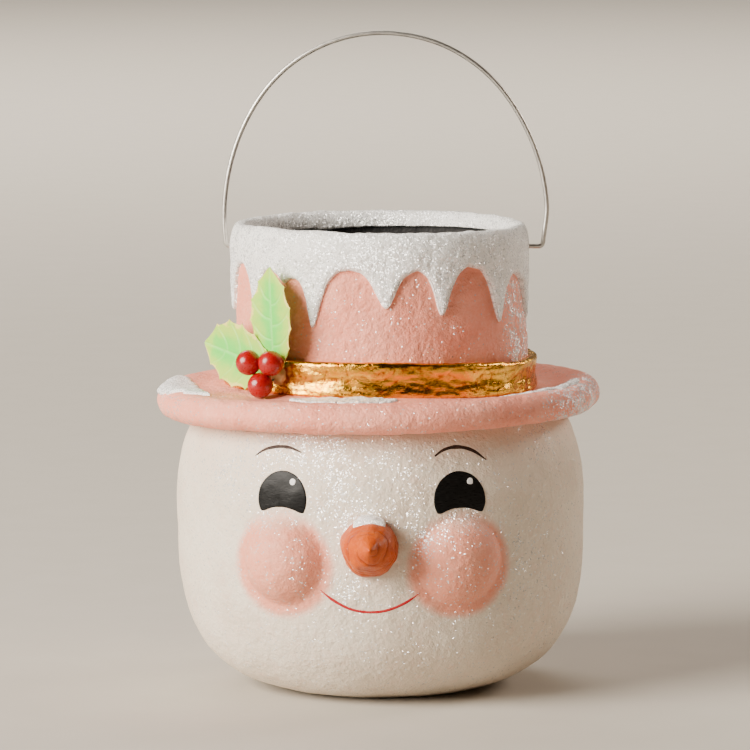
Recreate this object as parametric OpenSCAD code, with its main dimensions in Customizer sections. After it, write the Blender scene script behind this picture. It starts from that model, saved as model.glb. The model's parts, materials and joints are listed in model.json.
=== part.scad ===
// Snowman bucket: a papier-mache pail shaped as a snowman's head in a top hat.
// The hat is open at the top and a wire bail swings over it.
// The face looks along -Y, +Z is up, and the origin is the centre of the base.
// Left and right are the viewer's, so left is towards -X.

/* [Head] */
// Radius of the head at its widest ring
head_r = 118.8; // [95:0.1:145]
// Height of the widest ring above the base
head_mid_z = 114.7; // [92:0.1:140]
// Depth of the lower bulge that is cut away to make the flat base
base_cut = 2.5; // [1:0.1:6]
// Height of the full upper dome above the widest ring
head_dome_h = 104; // [84:1:130]
// Squareness of the lower bulge, where 2 is round
head_power = 3.54; // [2.4:0.01:5]
// Thickness of the head's wall, floor and deck
head_wall = 4.5; // [3:0.1:6]
// Height of the deck that carries the hat above the widest ring
neck_rise = 55.3; // [45:0.1:67]

/* [Face] */
// Angle of each cheek from the face's middle
cheek_az = 25.4; // [20:0.1:31]
// Height of the cheeks' middle above the base
cheek_z = 87; // [75:0.1:100]
// Radius of the ball that shapes a cheek
cheek_ball_r = 29.5; // [24:0.1:36]
// How far a cheek stands out of the head
cheek_rise = 13; // [9:0.1:18]
// Height of the nose's middle above the base
nose_z = 96.7; // [88:0.1:106]
// Radius of the nose where it leaves the head
nose_r = 16.6; // [12:0.1:20]
// Length of the nose
nose_len = 36; // [26:0.5:50]
// Angle that the nose points above level
nose_tilt = 5; // [0:0.5:12]
// Angle that the nose turns towards the right cheek, as the face's viewer sees it
nose_yaw = 3; // [-6:0.5:6]
// Radius of an eye
eye_r = 15.8; // [12:0.1:19]
// Angle of each eye from the face's middle
eye_az = 25.2; // [20:0.1:30]
// Height of the eyes' middle above the base
eye_z = 122.3; // [112:0.1:130]
// Width of the smile
smile_w = 56.5; // [40:0.5:64]
// Height of the smile's lowest point above the base
smile_z = 59.3; // [50:0.1:70]
// Radius that the smile follows
smile_r = 45; // [35:0.5:60]
// Width of the smile's brush stroke
smile_line = 1.4; // [0.8:0.1:2.5]
// Width of a brow's brush stroke at its middle
brow_line = 1.8; // [1:0.1:3]
// Height of the brows' highest point above the base
brow_z = 151; // [145:0.5:156]
// Thickness of the enamel films
film_t = 0.4; // [0.2:0.1:0.8]

/* [Hat] */
// How far the brim stands out past the head's widest ring
brim_overhang = 10.1; // [6:0.1:20]
// Thickness of the brim's rolled edge
brim_t = 17.5; // [13:0.1:22]
// Width of the rolled edge
brim_roll_w = 19.8; // [14:0.1:26]
// Depth of the dish between the rolled edge and the band
brim_dish = 1.6; // [0:0.1:3]
// Height of the brim's top above the deck
brim_top_rise = 7.8; // [5:0.1:11]
// Outer radius of the crown
crown_r = 84; // [70:0.5:88]
// Height of the crown above the deck
crown_h = 98; // [80:0.5:120]
// Thickness of the crown's wall
crown_wall = 6; // [4.5:0.1:8]
// Step that seats the crown on the deck
crown_step = 3; // [1.5:0.1:3.6]
// Depth of the crown's spigot below the deck's top
spigot_h = 9; // [6:0.5:14]
// Clearance of the glued laps
lap_gap = 0.1; // [0:0.05:0.3]
// Height of the band
band_h = 19.5; // [14:0.5:24]
// Thickness of the band
band_t = 7.4; // [3:0.1:9]
// Size of the band's top bevel
band_bevel = 2.2; // [1:0.1:2.8]

/* [Icing and snow] */
// Thickness of the icing on the crown's outside and inside
icing_t = 3; // [2:0.1:4]
// Thickness of the icing over the crown's rim
icing_top_t = 2.5; // [1.5:0.1:4]
// Depth that the icing folds into the crown
icing_fold = 8.5; // [5:0.5:9]
// Thickness of the snow on the brim
snow_t = 1.8; // [1:0.1:3]
// Thickness of the snow on the nose
nose_snow_t = 2; // [1:0.1:3]

/* [Holly] */
// Angle of the holly sprig from the face's middle, towards the left cheek
sprig_az = 48; // [40:1:60]
// Length of a holly leaf
leaf_len = 62; // [50:1:75]
// Width of a holly leaf across its points
leaf_w = 37; // [28:0.5:42]
// Thickness of a holly leaf
leaf_t = 0.9; // [0.6:0.1:1.5]
// Radius of a berry
berry_r = 7.3; // [5:0.1:8]
// Diameter of a berry's wire stem
stem_d = 1.2; // [0.8:0.1:2]

/* [Bail] */
// Diameter of the bail's wire
wire_d = 2.7; // [1.6:0.1:3.5]
// Depth of the bail's pivot below the icing's top
pivot_drop = 14.5; // [13:0.1:20]
// Height of the bail's top above its pivot
bail_rise = 124.4; // [110:0.1:160]
// Gap between the icing and the wire at the bail's widest, when it is centred
bail_leg_gap = 5; // [4.2:0.1:9]
// Height of the bail's widest place above its pivot
bow_widest_h = 17.5; // [12:0.5:24]
// How far the bail has slid along its pivot
bail_shift = 2.5; // [0:0.1:2.5]
// Radial clearance of the wire in the bail holes
wire_clear = 0.08; // [0.05:0.01:0.1]
// Gap between a wire end and the crown's inner wall, when the bail is centred
hook_gap = 4.6; // [4.2:0.1:8]
// Length of the bent-down wire end below the pivot
hook_len = 5; // [3.5:0.1:5.5]

/* [Hidden] */
$fn = 96;

// A bit more than any surface that a cut has to pass
over = 1;

// Heights and radii that follow from the sizes above
head_low_h = head_mid_z + base_cut;
neck_z = head_mid_z + neck_rise;
brim_r = head_r + brim_overhang;
brim_top_z = neck_z + brim_top_rise;
crown_top_z = neck_z + crown_h;
crown_in_r = crown_r - crown_wall;
spigot_r = crown_r - crown_step;
band_z = brim_top_z;
band_r = crown_r + band_t;
icing_r = crown_r + icing_t;
icing_in_r = crown_in_r - icing_t;
rim_z = crown_top_z + icing_top_t;
pivot_z = rim_z - pivot_drop;

// ---------- Placing ----------

// Turns a flat outline to face outwards at an angle and height; its y is up
module facing(az, z) {
    rotate([0, 0, az])
        translate([0, 0, z])
            rotate([90, 0, 0])
                children();
}

// ---------- Head ----------

// Radius of the head at a height, with its surface moved in by inset
function head_radius(z, inset = 0) =
    z < head_mid_z
    ? (head_r - inset)
        * pow(1 - pow((head_mid_z - z) / (head_low_h - inset), head_power), 1 / head_power)
    : (head_r - inset) * sqrt(1 - pow((z - head_mid_z) / (head_dome_h - inset), 2));

low_steps = 18;
dome_steps = 8;

// Points up one side of the head from a height near the base to a height near the deck
function head_side(z0, z1, inset) = concat(
    [for (i = [0 : low_steps - 1])
        let (z = z0 + (head_mid_z - z0) * (1 - cos(90 * i / low_steps)))
        [head_radius(z, inset), z]],
    [for (i = [0 : dome_steps])
        let (z = head_mid_z + (z1 - head_mid_z) * i / dome_steps)
        [head_radius(z, inset), z]]
);

function reversed(list) = [for (i = [len(list) - 1 : -1 : 0]) list[i]];

// The head as a solid body, grown outwards by a film's thickness
module head_body(grow = 0) {
    rotate_extrude()
        polygon(concat([[0, 0]], head_side(0, neck_z, -grow), [[0, neck_z]]));
}

module head_shell() {
    hole_r = spigot_r + lap_gap;
    color("ivory")
        rotate_extrude()
            polygon(concat(
                [[0, 0]],
                head_side(0, neck_z, 0),
                [[hole_r, neck_z], [hole_r, neck_z - head_wall]],
                reversed(head_side(head_wall, neck_z - head_wall, head_wall)),
                [[0, head_wall]]
            ));
}

// ---------- Face ----------

// A thin layer on the head inside a flat outline, from one depth to another
module film(az, z, from = 0, to = film_t) {
    difference() {
        intersection() {
            head_body(to);
            facing(az, z)
                linear_extrude(head_r + over + to)
                    children();
        }
        head_body(from);
    }
}

module cheek(side) {
    color("pink")
        difference() {
            rotate([0, 0, side * cheek_az])
                translate([0, cheek_ball_r - cheek_rise - head_radius(cheek_z), cheek_z])
                    sphere(r = cheek_ball_r);
            head_body();
        }
}

// Radius of the nose at a share of its length, with shallow rings carved round it
nose_steps = 16;
nose_rings = 5;
nose_ring_depth = 0.35;
nose_root = 8;
function nose_radius(t) = nose_r * pow(1 - pow(t, 1.7), 0.85);

module nose_form(grow = 0) {
    rotate([0, 0, nose_yaw])
        translate([0, -head_radius(nose_z), nose_z])
            rotate([90 - nose_tilt, 0, 0])
                rotate_extrude()
                    polygon(concat(
                        [[0, -nose_root], [nose_r + grow, -nose_root]],
                        [for (i = [0 : nose_steps - 1])
                            let (t = i / nose_steps)
                            [nose_radius(t) + grow - nose_ring_depth * pow(sin(180 * nose_rings * t), 2), nose_len * t]],
                        [[0, nose_len + grow]]
                    ));
}

module carrot_nose() {
    color("darkorange")
        difference() {
            nose_form();
            head_body();
        }
}

// A ball over the top of the nose's root bounds the snow that lies there
module nose_snow() {
    ball_r = 0.78 * nose_r;
    ball_up = 1.2 * nose_r;
    color("white")
        difference() {
            intersection() {
                nose_form(nose_snow_t);
                rotate([0, 0, nose_yaw])
                    translate([0, -head_radius(nose_z), nose_z + ball_up])
                        sphere(r = ball_r);
            }
            nose_form();
            head_body();
        }
}

// The eye's disc is cut below by a circle that follows the top of the cheek
module eye(side) {
    lid_r = 26;
    lid_z = eye_z - lid_r - 0.3 * eye_r;
    color("black")
        film(side * eye_az, eye_z)
            difference() {
                circle(r = eye_r);
                translate([0, lid_z - eye_z])
                    circle(r = lid_r);
            }
}

module eye_glint(side) {
    glint_r = 1.9;
    glint_up = 0.62 * eye_r;
    glint_in = 3.2;
    color("white")
        film(side * eye_az + glint_in, eye_z + glint_up, film_t, film_t + 0.3)
            circle(r = glint_r);
}

// A brush stroke along an arc that bulges up, thickest at its middle
function arc_stroke(r, half_angle, line, steps = 12) = concat(
    [for (i = [0 : steps])
        let (a = half_angle * (2 * i / steps - 1), t = line / 2 * (0.25 + 0.75 * cos(90 * a / half_angle)))
        (r + t) * [sin(a), cos(a)]],
    [for (i = [steps : -1 : 0])
        let (a = half_angle * (2 * i / steps - 1), t = line / 2 * (0.25 + 0.75 * cos(90 * a / half_angle)))
        (r - t) * [sin(a), cos(a)]]
);

module brow(side) {
    brow_r = 29;
    brow_half_angle = 30;
    brow_az = 27.5;
    brow_droop = 7.5;
    color("saddlebrown")
        film(side * brow_az, brow_z)
            rotate(-side * brow_droop)
                translate([0, -brow_r - brow_line / 2])
                    polygon(arc_stroke(brow_r, brow_half_angle, brow_line));
}

module smile() {
    color("crimson")
        film(0, smile_z + smile_r + smile_line / 2)
            rotate(180)
                polygon(arc_stroke(smile_r, asin(smile_w / 2 / smile_r), smile_line, 20));
}

// ---------- Hat ----------

roll_steps = 18;

// The brim's section, with its skin grown by a snow thickness
function brim_section(grow) =
    let (
        roll_r = brim_r - brim_roll_w / 2,
        roll_z = brim_top_z - brim_t / 2,
        dish_r = band_r + 0.35 * (roll_r - band_r)
    )
    concat(
        [[0, roll_z - brim_t / 2 - grow]],
        [for (i = [0 : roll_steps])
            let (a = 180 * i / roll_steps - 90)
            [roll_r + (brim_roll_w / 2 + grow) * cos(a), roll_z + (brim_t / 2 + grow) * sin(a)]],
        [[dish_r, brim_top_z - brim_dish + grow],
            [band_r, brim_top_z + grow],
            [0, brim_top_z + grow]]
    );

module brim_body(grow = 0) {
    rotate_extrude()
        polygon(brim_section(grow));
}

module hat_brim() {
    color("lightpink")
        difference() {
            brim_body();
            head_body();
            cylinder(h = rim_z, r = crown_r + lap_gap);
        }
}

// Both bail holes, drilled across the crown
module bail_bores() {
    for (side = [-1, 1])
        translate([side * (icing_r + icing_in_r) / 2, 0, pivot_z])
            rotate([0, 90, 0])
                cylinder(h = icing_r - icing_in_r + 4 * over, d = wire_d + 2 * wire_clear, center = true);
}

module crown_tube() {
    difference() {
        union() {
            translate([0, 0, neck_z])
                cylinder(h = crown_h, r = crown_r);
            translate([0, 0, neck_z - spigot_h])
                cylinder(h = spigot_h, r = spigot_r);
        }
        translate([0, 0, neck_z - spigot_h - over])
            cylinder(h = spigot_h + crown_h + 2 * over, r = crown_in_r);
    }
}

module hat_crown() {
    color("salmon")
        difference() {
            crown_tube();
            bail_bores();
        }
}

module hat_band() {
    color("gold")
        translate([0, 0, band_z])
            rotate_extrude()
                polygon([
                    [crown_r, 0],
                    [band_r, 0],
                    [band_r, band_h - band_bevel],
                    [band_r - band_bevel, band_h],
                    [crown_r, band_h]
                ]);
}

// ---------- Icing and snow ----------

// Each drip: its angle, its depth below the rim, and the angle and depth of the arch after it
DRIPS = [
    [-53, 55, -45, 24], [-37, 30, -32, 27], [-24, 54, -8, 21], [5.5, 43, 17, 22],
    [27.5, 48, 40, 21], [56, 54, 68, 28], [84, 56, 97, 24], [110, 44, 121, 22],
    [133, 58, 146, 24], [158, 40, 169, 22], [181, 51, 193, 25], [205, 44, 217, 21],
    [229, 57, 241, 26], [253, 42, 265, 22], [280, 50, 295, 21]
];
// Roundness of a drip's tip: 0.4 is narrow and 1 is a wave
drip_tip = 0.58;
edge_steps = 7;

// How far the edge has climbed from a tip, at 0, to an arch, at 1
function edge_climb(u) =
    let (v = sin(90 * u))
    v * v * (1 + drip_tip * drip_tip) / (v * v + drip_tip * drip_tip);

// Opens the arch between one drip and the next
module arch_cut(from, to) {
    arch_az = from[2];
    arch_depth = from[3];
    to_az = to[0] > arch_az ? to[0] : to[0] + 360;
    cut_r = icing_r + over;
    left_w = cut_r * sin(arch_az - from[0]);
    right_w = cut_r * sin(to_az - arch_az);
    low = -0.9 * crown_h;
    facing(arch_az, rim_z)
        translate([0, 0, crown_r * 0.6])
            linear_extrude(cut_r)
                polygon(concat(
                    [[-left_w, low]],
                    [for (i = [0 : edge_steps])
                        let (u = i / edge_steps)
                        [-left_w * (1 - u), -from[1] + (from[1] - arch_depth) * edge_climb(u)]],
                    [for (i = [1 : edge_steps])
                        let (u = 1 - i / edge_steps)
                        [right_w * (1 - u), -to[1] + (to[1] - arch_depth) * edge_climb(u)]],
                    [[right_w, low]]
                ));
}

// A quarter of a rounded corner, from its side at 0 to its top at 1
function corner(cx, cz, rx, rz, power, steps) = [
    for (i = [0 : steps])
        let (a = 90 * i / steps)
        [cx + rx * pow(cos(a), 2 / power), cz + rz * pow(sin(a), 2 / power)]
];

// The coat that wraps the rim, before its lower edge is opened into arches
module icing_coat() {
    crest_r = (icing_r + icing_in_r) / 2;
    shoulder_h = 16;
    longest = max([for (d = DRIPS) d[1]]);
    rotate_extrude()
        polygon(concat(
            [[crown_r - over, rim_z - longest - over], [icing_r, rim_z - longest - over]],
            corner(crest_r, rim_z - shoulder_h, icing_r - crest_r, shoulder_h, 2.6, 8),
            reversed(corner(crest_r, rim_z - icing_fold, icing_in_r - crest_r, icing_fold, 2.2, 6)),
            [[crown_r - over, rim_z - icing_fold]]
        ));
}

module crown_icing() {
    color("white")
        difference() {
            icing_coat();
            crown_tube();
            for (i = [0 : len(DRIPS) - 1])
                arch_cut(DRIPS[i], DRIPS[(i + 1) % len(DRIPS)]);
            bail_bores();
        }
}

// The snow's spots are laid out on a brim of this radius and this width outside the band;
// on another brim they move and grow with it, and never so little that a patch falls apart
layout_r = 128.9;
layout_w = 37.5;
spot_spread = (brim_r - band_r) / layout_w;
spot_growth = max(spot_spread, brim_r / layout_r);

// A patch of snow on the brim's upper half, under round spots [angle, inset from the edge, radius]
module snow_patch(spots) {
    color("white")
        difference() {
            intersection() {
                brim_body(snow_t);
                for (s = spots)
                    rotate([0, 0, s[0]])
                        translate([0, s[1] * spot_spread - brim_r, brim_top_z - brim_t / 3])
                            cylinder(h = brim_t, r = s[2] * spot_growth);
            }
            brim_body();
            cylinder(h = rim_z, r = band_r);
        }
}

LEFT_SPOTS = [[-92, 9, 7], [-86, 8, 9], [-79, 7.5, 8.5], [-72, 8.5, 9], [-65, 9.5, 8], [-59, 12, 6.5]];
FRONT_SPOTS = [[-24, 24, 6], [-19, 25, 7.5], [-13, 26, 8], [-7, 28, 7.5], [-1, 31, 7], [4, 33, 5]];
RIGHT_SPOTS = [[45, 17, 6.5], [51, 17, 9], [58, 16, 9.5], [65, 18, 9], [72, 20, 8], [79, 23, 7]];
BACK_SPOTS = [[166, 16, 7], [173, 15, 9], [181, 16, 9], [188, 18, 8], [195, 21, 6.5]];

// ---------- Holly ----------

// Places on the sprig are [across towards the face's middle, up from the brim's top,
// out from the crown's axis]
leaf_stand = 1;
upper_leaf_at = [18, 11, band_r + leaf_stand];
upper_leaf_turn = 2;
lower_leaf_at = [17, 14.5, band_r + leaf_stand + leaf_t];
lower_leaf_turn = 80;
leaf_front = lower_leaf_at[2] + leaf_t;
glue_at = [19.5, 11, band_r + 0.5];
// The lower berry rests near the brim and the other two lean on it and on each other
berry_lower_at = [18.4, berry_r - 1.3, leaf_front + berry_r + 1.2];
berry_left_at = berry_lower_at + berry_r * [-0.86, 1.75, 0.48];
berry_right_at = berry_lower_at + berry_r * [1, 1.8, -0.28];

// How far from the glue's middle each stem starts
stem_spread = 1.4 * stem_d;

leaf_lobes = 5;
lobe_steps = 5;

// Half width of a leaf at a share of its length: points with hollow edges between them
function leaf_half(t) =
    let (
        envelope = leaf_w / 2 * pow(sin(180 * pow(t, 0.85)), 0.75),
        lobe = t * leaf_lobes - floor(t * leaf_lobes)
    )
    envelope * (0.74 + 0.26 * pow(abs(2 * lobe - 1), 1.8));

// The leaf's outline, growing up from the origin
module leaf_outline() {
    n = leaf_lobes * lobe_steps;
    polygon(concat(
        [for (i = [1 : n - 1]) [leaf_half(i / n), leaf_len * i / n]],
        [[0, leaf_len]],
        [for (i = [n - 1 : -1 : 1]) [-leaf_half(i / n), leaf_len * i / n]],
        [[0, 0]]
    ));
}

module on_sprig(at) {
    facing(-sprig_az, brim_top_z)
        translate(at)
            children();
}

// A stem starts in the glue, on the side that its berry is on
module stem(at) {
    aside = [at[0] - glue_at[0], at[1] - glue_at[1], 0];
    root = glue_at + stem_spread * aside / norm(aside);
    run = at - root;
    tilt = acos(run[2] / norm(run));
    turn = atan2(run[1], run[0]);
    on_sprig(root)
        rotate([0, tilt, turn])
            cylinder(h = norm(run), d = stem_d);
}

module berry_stem(at) {
    color("darkolivegreen")
        stem(at);
}

module all_stems() {
    stem(berry_left_at);
    stem(berry_right_at);
    stem(berry_lower_at);
}

module berry(at) {
    color("red")
        difference() {
            on_sprig(at)
                sphere(r = berry_r);
            stem(at);
        }
}

module leaf(at, turn) {
    color("palegreen")
        difference() {
            on_sprig(at)
                rotate(turn)
                    linear_extrude(leaf_t)
                        leaf_outline();
            all_stems();
        }
}

module sprig_glue() {
    glue_r = 6;
    glue_root = 4;
    color("wheat")
        difference() {
            on_sprig([glue_at[0], glue_at[1], band_r - glue_root])
                cylinder(h = upper_leaf_at[2] - band_r + glue_root, r = glue_r);
            cylinder(h = rim_z, r = band_r);
            all_stems();
        }
}

// ---------- Bail ----------

wire_r = wire_d / 2;
bend_r = 2.6;
hook_bend_r = 2.2;
// The bow is bent to two radii that meet at a slope: one over its top, one down each side
bow_half_w = icing_r + bail_leg_gap + wire_r;
bow_rise = bail_rise - wire_r;
top_arc_half = 55;
arc_share = cos(top_arc_half) / (1 - sin(top_arc_half));
top_arc_r = (arc_share * bow_half_w - bow_rise + bow_widest_h) / (arc_share - 1);
side_arc_r = (bow_half_w - top_arc_r * sin(top_arc_half)) / (1 - sin(top_arc_half));
// Centres of the arcs and the bend, out from the bail's middle and up from its pivot
top_arc_z = bow_rise - top_arc_r;
side_arc_x = bow_half_w - side_arc_r;
bend_x = side_arc_x + sqrt(pow(side_arc_r - bend_r, 2) - pow(bow_widest_h - bend_r, 2));
bend_turn = atan2(bow_widest_h - bend_r, bend_x - side_arc_x);
hook_x = crown_in_r - wire_r - hook_gap;
// Where two arcs meet, a ball a hair wider than the wire bridges a hair's gap
bridge_gap = 0.05;
bridge_r = wire_r + 0.03;

// The angle that an arc gives up to a bridge
function bridge_angle(r) = bridge_gap / r * 180 / PI;

// A piece of wire bent to a radius about [x, z], from one angle above level to another
module bent_wire(x, z, r, from, to) {
    translate([x, 0, z])
        rotate([90, 0, 0])
            rotate([0, 0, from])
                rotate_extrude(angle = to - from)
                    translate([r, 0])
                        circle(d = wire_d);
}

module bridge(x, z, r, angle) {
    translate([x + r * cos(angle), 0, z + r * sin(angle)])
        sphere(r = bridge_r);
}

// One side: the side arc, the bend into the bail hole, the pivot and the bent-down end
module bail_side() {
    side_gap = bridge_angle(side_arc_r);
    bridge(0, top_arc_z, top_arc_r, 90 - top_arc_half);
    bent_wire(side_arc_x, bow_widest_h, side_arc_r, side_gap - bend_turn, 90 - top_arc_half - side_gap);
    bridge(side_arc_x, bow_widest_h, side_arc_r, -bend_turn);
    bent_wire(bend_x, bend_r, bend_r, -90, -bend_turn);
    translate([hook_x + hook_bend_r, 0, 0])
        rotate([0, 90, 0])
            cylinder(h = bend_x - hook_x - hook_bend_r, d = wire_d);
    bent_wire(hook_x + hook_bend_r, -hook_bend_r, hook_bend_r, 90, 180);
    translate([hook_x, 0, -hook_len])
        cylinder(h = hook_len - hook_bend_r, d = wire_d);
}

module bail_wire() {
    top_half = top_arc_half - bridge_angle(top_arc_r);
    color("silver")
        translate([bail_shift, 0, pivot_z]) {
            bent_wire(0, top_arc_z, top_arc_r, 90 - top_half, 90 + top_half);
            for (side = [0, 1])
                mirror([side, 0, 0])
                    bail_side();
        }
}

head_shell();
cheek(-1);  // left_cheek
cheek(1);  // right_cheek
carrot_nose();
nose_snow();
eye(-1);  // left_eye
eye(1);  // right_eye
eye_glint(-1);  // left_eye_glint
eye_glint(1);  // right_eye_glint
brow(-1);  // left_brow
brow(1);  // right_brow
smile();
hat_brim();
hat_crown();
hat_band();
crown_icing();
snow_patch(LEFT_SPOTS);  // brim_snow_left
snow_patch(FRONT_SPOTS);  // brim_snow_front
snow_patch(RIGHT_SPOTS);  // brim_snow_right
snow_patch(BACK_SPOTS);  // brim_snow_back
sprig_glue();
leaf(upper_leaf_at, upper_leaf_turn);  // holly_leaf_upper
leaf(lower_leaf_at, lower_leaf_turn);  // holly_leaf_lower
berry(berry_left_at);  // holly_berry_left
berry(berry_right_at);  // holly_berry_right
berry(berry_lower_at);  // holly_berry_lower
berry_stem(berry_left_at);  // berry_stem_left
berry_stem(berry_right_at);  // berry_stem_right
berry_stem(berry_lower_at);  // berry_stem_lower
bail_wire();
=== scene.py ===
"""Looks for the snowman bucket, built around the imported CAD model.

Shapes are worked out in millimetres in the model's own frame: the face looks along -Y, +Z is up.
An azimuth is an angle round the Z axis from the middle of the face, positive towards +X.
"""

import json
import math

import bpy
import numpy as np
from mathutils import Matrix, Vector


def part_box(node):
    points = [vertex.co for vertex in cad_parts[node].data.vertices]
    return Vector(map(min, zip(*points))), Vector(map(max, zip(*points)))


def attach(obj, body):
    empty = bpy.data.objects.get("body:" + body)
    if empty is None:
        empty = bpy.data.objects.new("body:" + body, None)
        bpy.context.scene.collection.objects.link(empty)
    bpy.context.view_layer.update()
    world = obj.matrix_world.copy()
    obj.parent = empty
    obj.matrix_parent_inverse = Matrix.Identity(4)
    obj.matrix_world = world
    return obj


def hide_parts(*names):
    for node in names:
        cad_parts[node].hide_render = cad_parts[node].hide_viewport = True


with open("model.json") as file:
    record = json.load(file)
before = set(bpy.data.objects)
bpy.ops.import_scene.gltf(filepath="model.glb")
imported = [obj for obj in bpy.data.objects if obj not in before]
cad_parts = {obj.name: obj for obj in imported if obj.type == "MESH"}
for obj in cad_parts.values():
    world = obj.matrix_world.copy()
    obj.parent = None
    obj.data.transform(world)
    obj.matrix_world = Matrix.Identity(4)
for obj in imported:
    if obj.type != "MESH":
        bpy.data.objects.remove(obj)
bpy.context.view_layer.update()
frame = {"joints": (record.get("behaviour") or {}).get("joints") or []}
MM = 0.001
TURN = 2 * math.pi
LEVEL = np.array([1, 1, 0])


# ---------- Sizes from the frame ----------

def node_box(node):
    """Lowest and highest corner of a CAD node in millimetres."""
    low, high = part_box(node)
    return np.array(low) / MM, np.array(high) / MM


def reach_of(node):
    """How far a CAD node reaches in x and in z, in millimetres."""
    high = node_box(node)[1]
    return high[0], high[2]


HEAD_R, DECK_Z = reach_of("head_shell")
BRIM_R, BRIM_TOP_Z = reach_of("hat_brim")
CROWN_R, CROWN_TOP_Z = reach_of("hat_crown")
BAND_R, BAND_TOP_Z = reach_of("hat_band")
ICING_R, RIM_Z = reach_of("crown_icing")
BRIM_LOW_Z, CROWN_LOW_Z, BAND_LOW_Z = (node_box(f"hat_{part}")[0][2] for part in ("brim", "crown", "band"))
BERRY_LOW, BERRY_HIGH = node_box("holly_berry_left")
BERRY_R = (BERRY_HIGH - BERRY_LOW)[2] / 2
BAIL_LOW, BAIL_HIGH = node_box("bail_wire")
BAIL_X = (BAIL_LOW[0] + BAIL_HIGH[0]) / 2
PIVOT_Z = frame["joints"][0]["pos_m"][2] / MM

# Sizes that the frame can't tell, as the CAD source has them
HEAD_MID_Z = 114.7
BASE_CUT = 2.5
DOME_H = 104
HEAD_POWER = 3.54
WALL = 4.5
CROWN_WALL = 6
ICING_T = ICING_R - CROWN_R
ICING_FOLD = 8.5
CHEEK_AZ = math.radians(25.4)
CHEEK_Z = 87
CHEEK_BALL_R = 29.5
CHEEK_RISE = 13
EYE_AZ = math.radians(25.2)
EYE_Z = 122.3
EYE_R = 15.8
NOSE_Z = 96.7
NOSE_R = 16.6
NOSE_LEN = 36
NOSE_TILT = math.radians(5)
NOSE_YAW = math.radians(3)
STROKE_T = 0.22
SPRIG_AZ = math.radians(-48)


# ---------- Noise ----------

def cell_random(ix, iy, iz, salt):
    """A repeatable number from -1 to 1 for each whole-number cell."""
    n = (ix * 73856093 ^ iy * 19349663 ^ iz * 83492791 ^ salt * 2654435761) & 0xFFFFFFFF
    n = (n ^ (n >> 15)) * 2246822519 & 0xFFFFFFFF
    n = (n ^ (n >> 13)) * 3266489917 & 0xFFFFFFFF
    n = n ^ (n >> 16)
    return n / 2147483647.5 - 1


def lumps(points, size, seed):
    """Smooth gradient noise, about -1 to 1, with features of that size in millimetres."""
    p = np.asarray(points, float) / size + 31.7 * seed
    cell = np.floor(p).astype(np.int64)
    f = p - cell
    fade = f * f * f * (f * (f * 6 - 15) + 10)
    total = np.zeros(p.shape[:-1])
    for corner in np.ndindex(2, 2, 2):
        c = cell + np.array(corner)
        weight = np.ones(p.shape[:-1])
        dot = np.zeros(p.shape[:-1])
        for axis in range(3):
            weight = weight * (fade[..., axis] if corner[axis] else 1 - fade[..., axis])
            slope = cell_random(c[..., 0], c[..., 1], c[..., 2], 7 * seed + axis + 1)
            dot = dot + slope * (f[..., axis] - corner[axis])
        total += weight * dot
    return total * 1.7


def uneven(points, *waves):
    """A sum of lumps, each wave given as its [height, size, seed]."""
    return sum(height * lumps(points, size, seed) for height, size, seed in waves)


def smooth_step(low, high, value):
    t = np.clip((value - low) / (high - low), 0, 1)
    return t * t * (3 - 2 * t)


def rounded_edge(distance, width):
    """0 at an edge, rising like a quarter circle to 1 at that distance from it."""
    t = 1 - np.clip(distance / width, 0, 1)
    return np.sqrt(1 - t * t)


# ---------- Vectors and paths ----------

def unit(vectors):
    return vectors / np.maximum(np.linalg.norm(vectors, axis=-1, keepdims=True), 1e-9)


def around(radius, az, z):
    """Points at a radius from the Z axis, an azimuth and a height."""
    return np.stack([radius * np.sin(az), -radius * np.cos(az), z + 0 * az], axis=-1)


def degrees_from(middle, angle):
    """An angle in radians as degrees from a middle, -180 to 180."""
    return (np.degrees(angle) - middle + 180) % 360 - 180


def distance_along(path):
    """How far each point of a polyline is from its start."""
    return np.concatenate([[0], np.cumsum(np.linalg.norm(np.diff(path, axis=0), axis=1))])


# ---------- Meshes ----------

def facing_out(points, faces):
    """The same faces, all turned over if they enclose a negative volume."""
    volume = 0.0
    for size in (3, 4):
        corners = points[np.array([f for f in faces if len(f) == size], int).reshape(-1, size)]
        for k in range(1, size - 1):
            volume += np.einsum("ij,ij->", corners[:, 0], np.cross(corners[:, k], corners[:, k + 1]))
    return faces if volume > 0 else [f[::-1] for f in faces]


def add_object(name, data):
    made = bpy.data.objects.new(name, data)
    bpy.context.scene.collection.objects.link(made)
    return made


def add_mesh(name, shape, node, slot, masks=None, body="pail"):
    """A smooth-shaded piece from (points in millimetres, faces), in its slot's look, riding on a body."""
    points, faces = np.asarray(shape[0], float).reshape(-1, 3), shape[1]
    mesh = bpy.data.meshes.new(name)
    mesh.from_pydata((points * MM).tolist(), [], facing_out(points, faces))
    mesh.update()
    mesh.shade_smooth()
    mesh.materials.append(LOOKS[slot])
    for mask, values in (masks or {}).items():
        values = np.asarray(values, float)
        if values.size < len(points):
            values = np.append(values, [values[0].mean(), values[-1].mean()])
        attribute = mesh.attributes.new(mask, "FLOAT", "POINT")
        attribute.data.foreach_set("value", values.astype(np.float32).ravel())
    piece = add_object(name, mesh)
    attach(piece, body)
    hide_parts(node)


def grid_faces(rows, cols, wrap_rows=False):
    """Quads over a grid of points whose columns close on themselves."""
    faces = []
    for r in range(rows if wrap_rows else rows - 1):
        a, b = r * cols, (r + 1) % rows * cols
        for c in range(cols):
            d = (c + 1) % cols
            faces.append((a + c, a + d, b + d, b + c))
    return faces


def ringed(loops):
    """Points and faces of a ring-shaped solid, whose rows close on themselves too."""
    return loops, grid_faces(*loops.shape[:2], wrap_rows=True)


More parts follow.
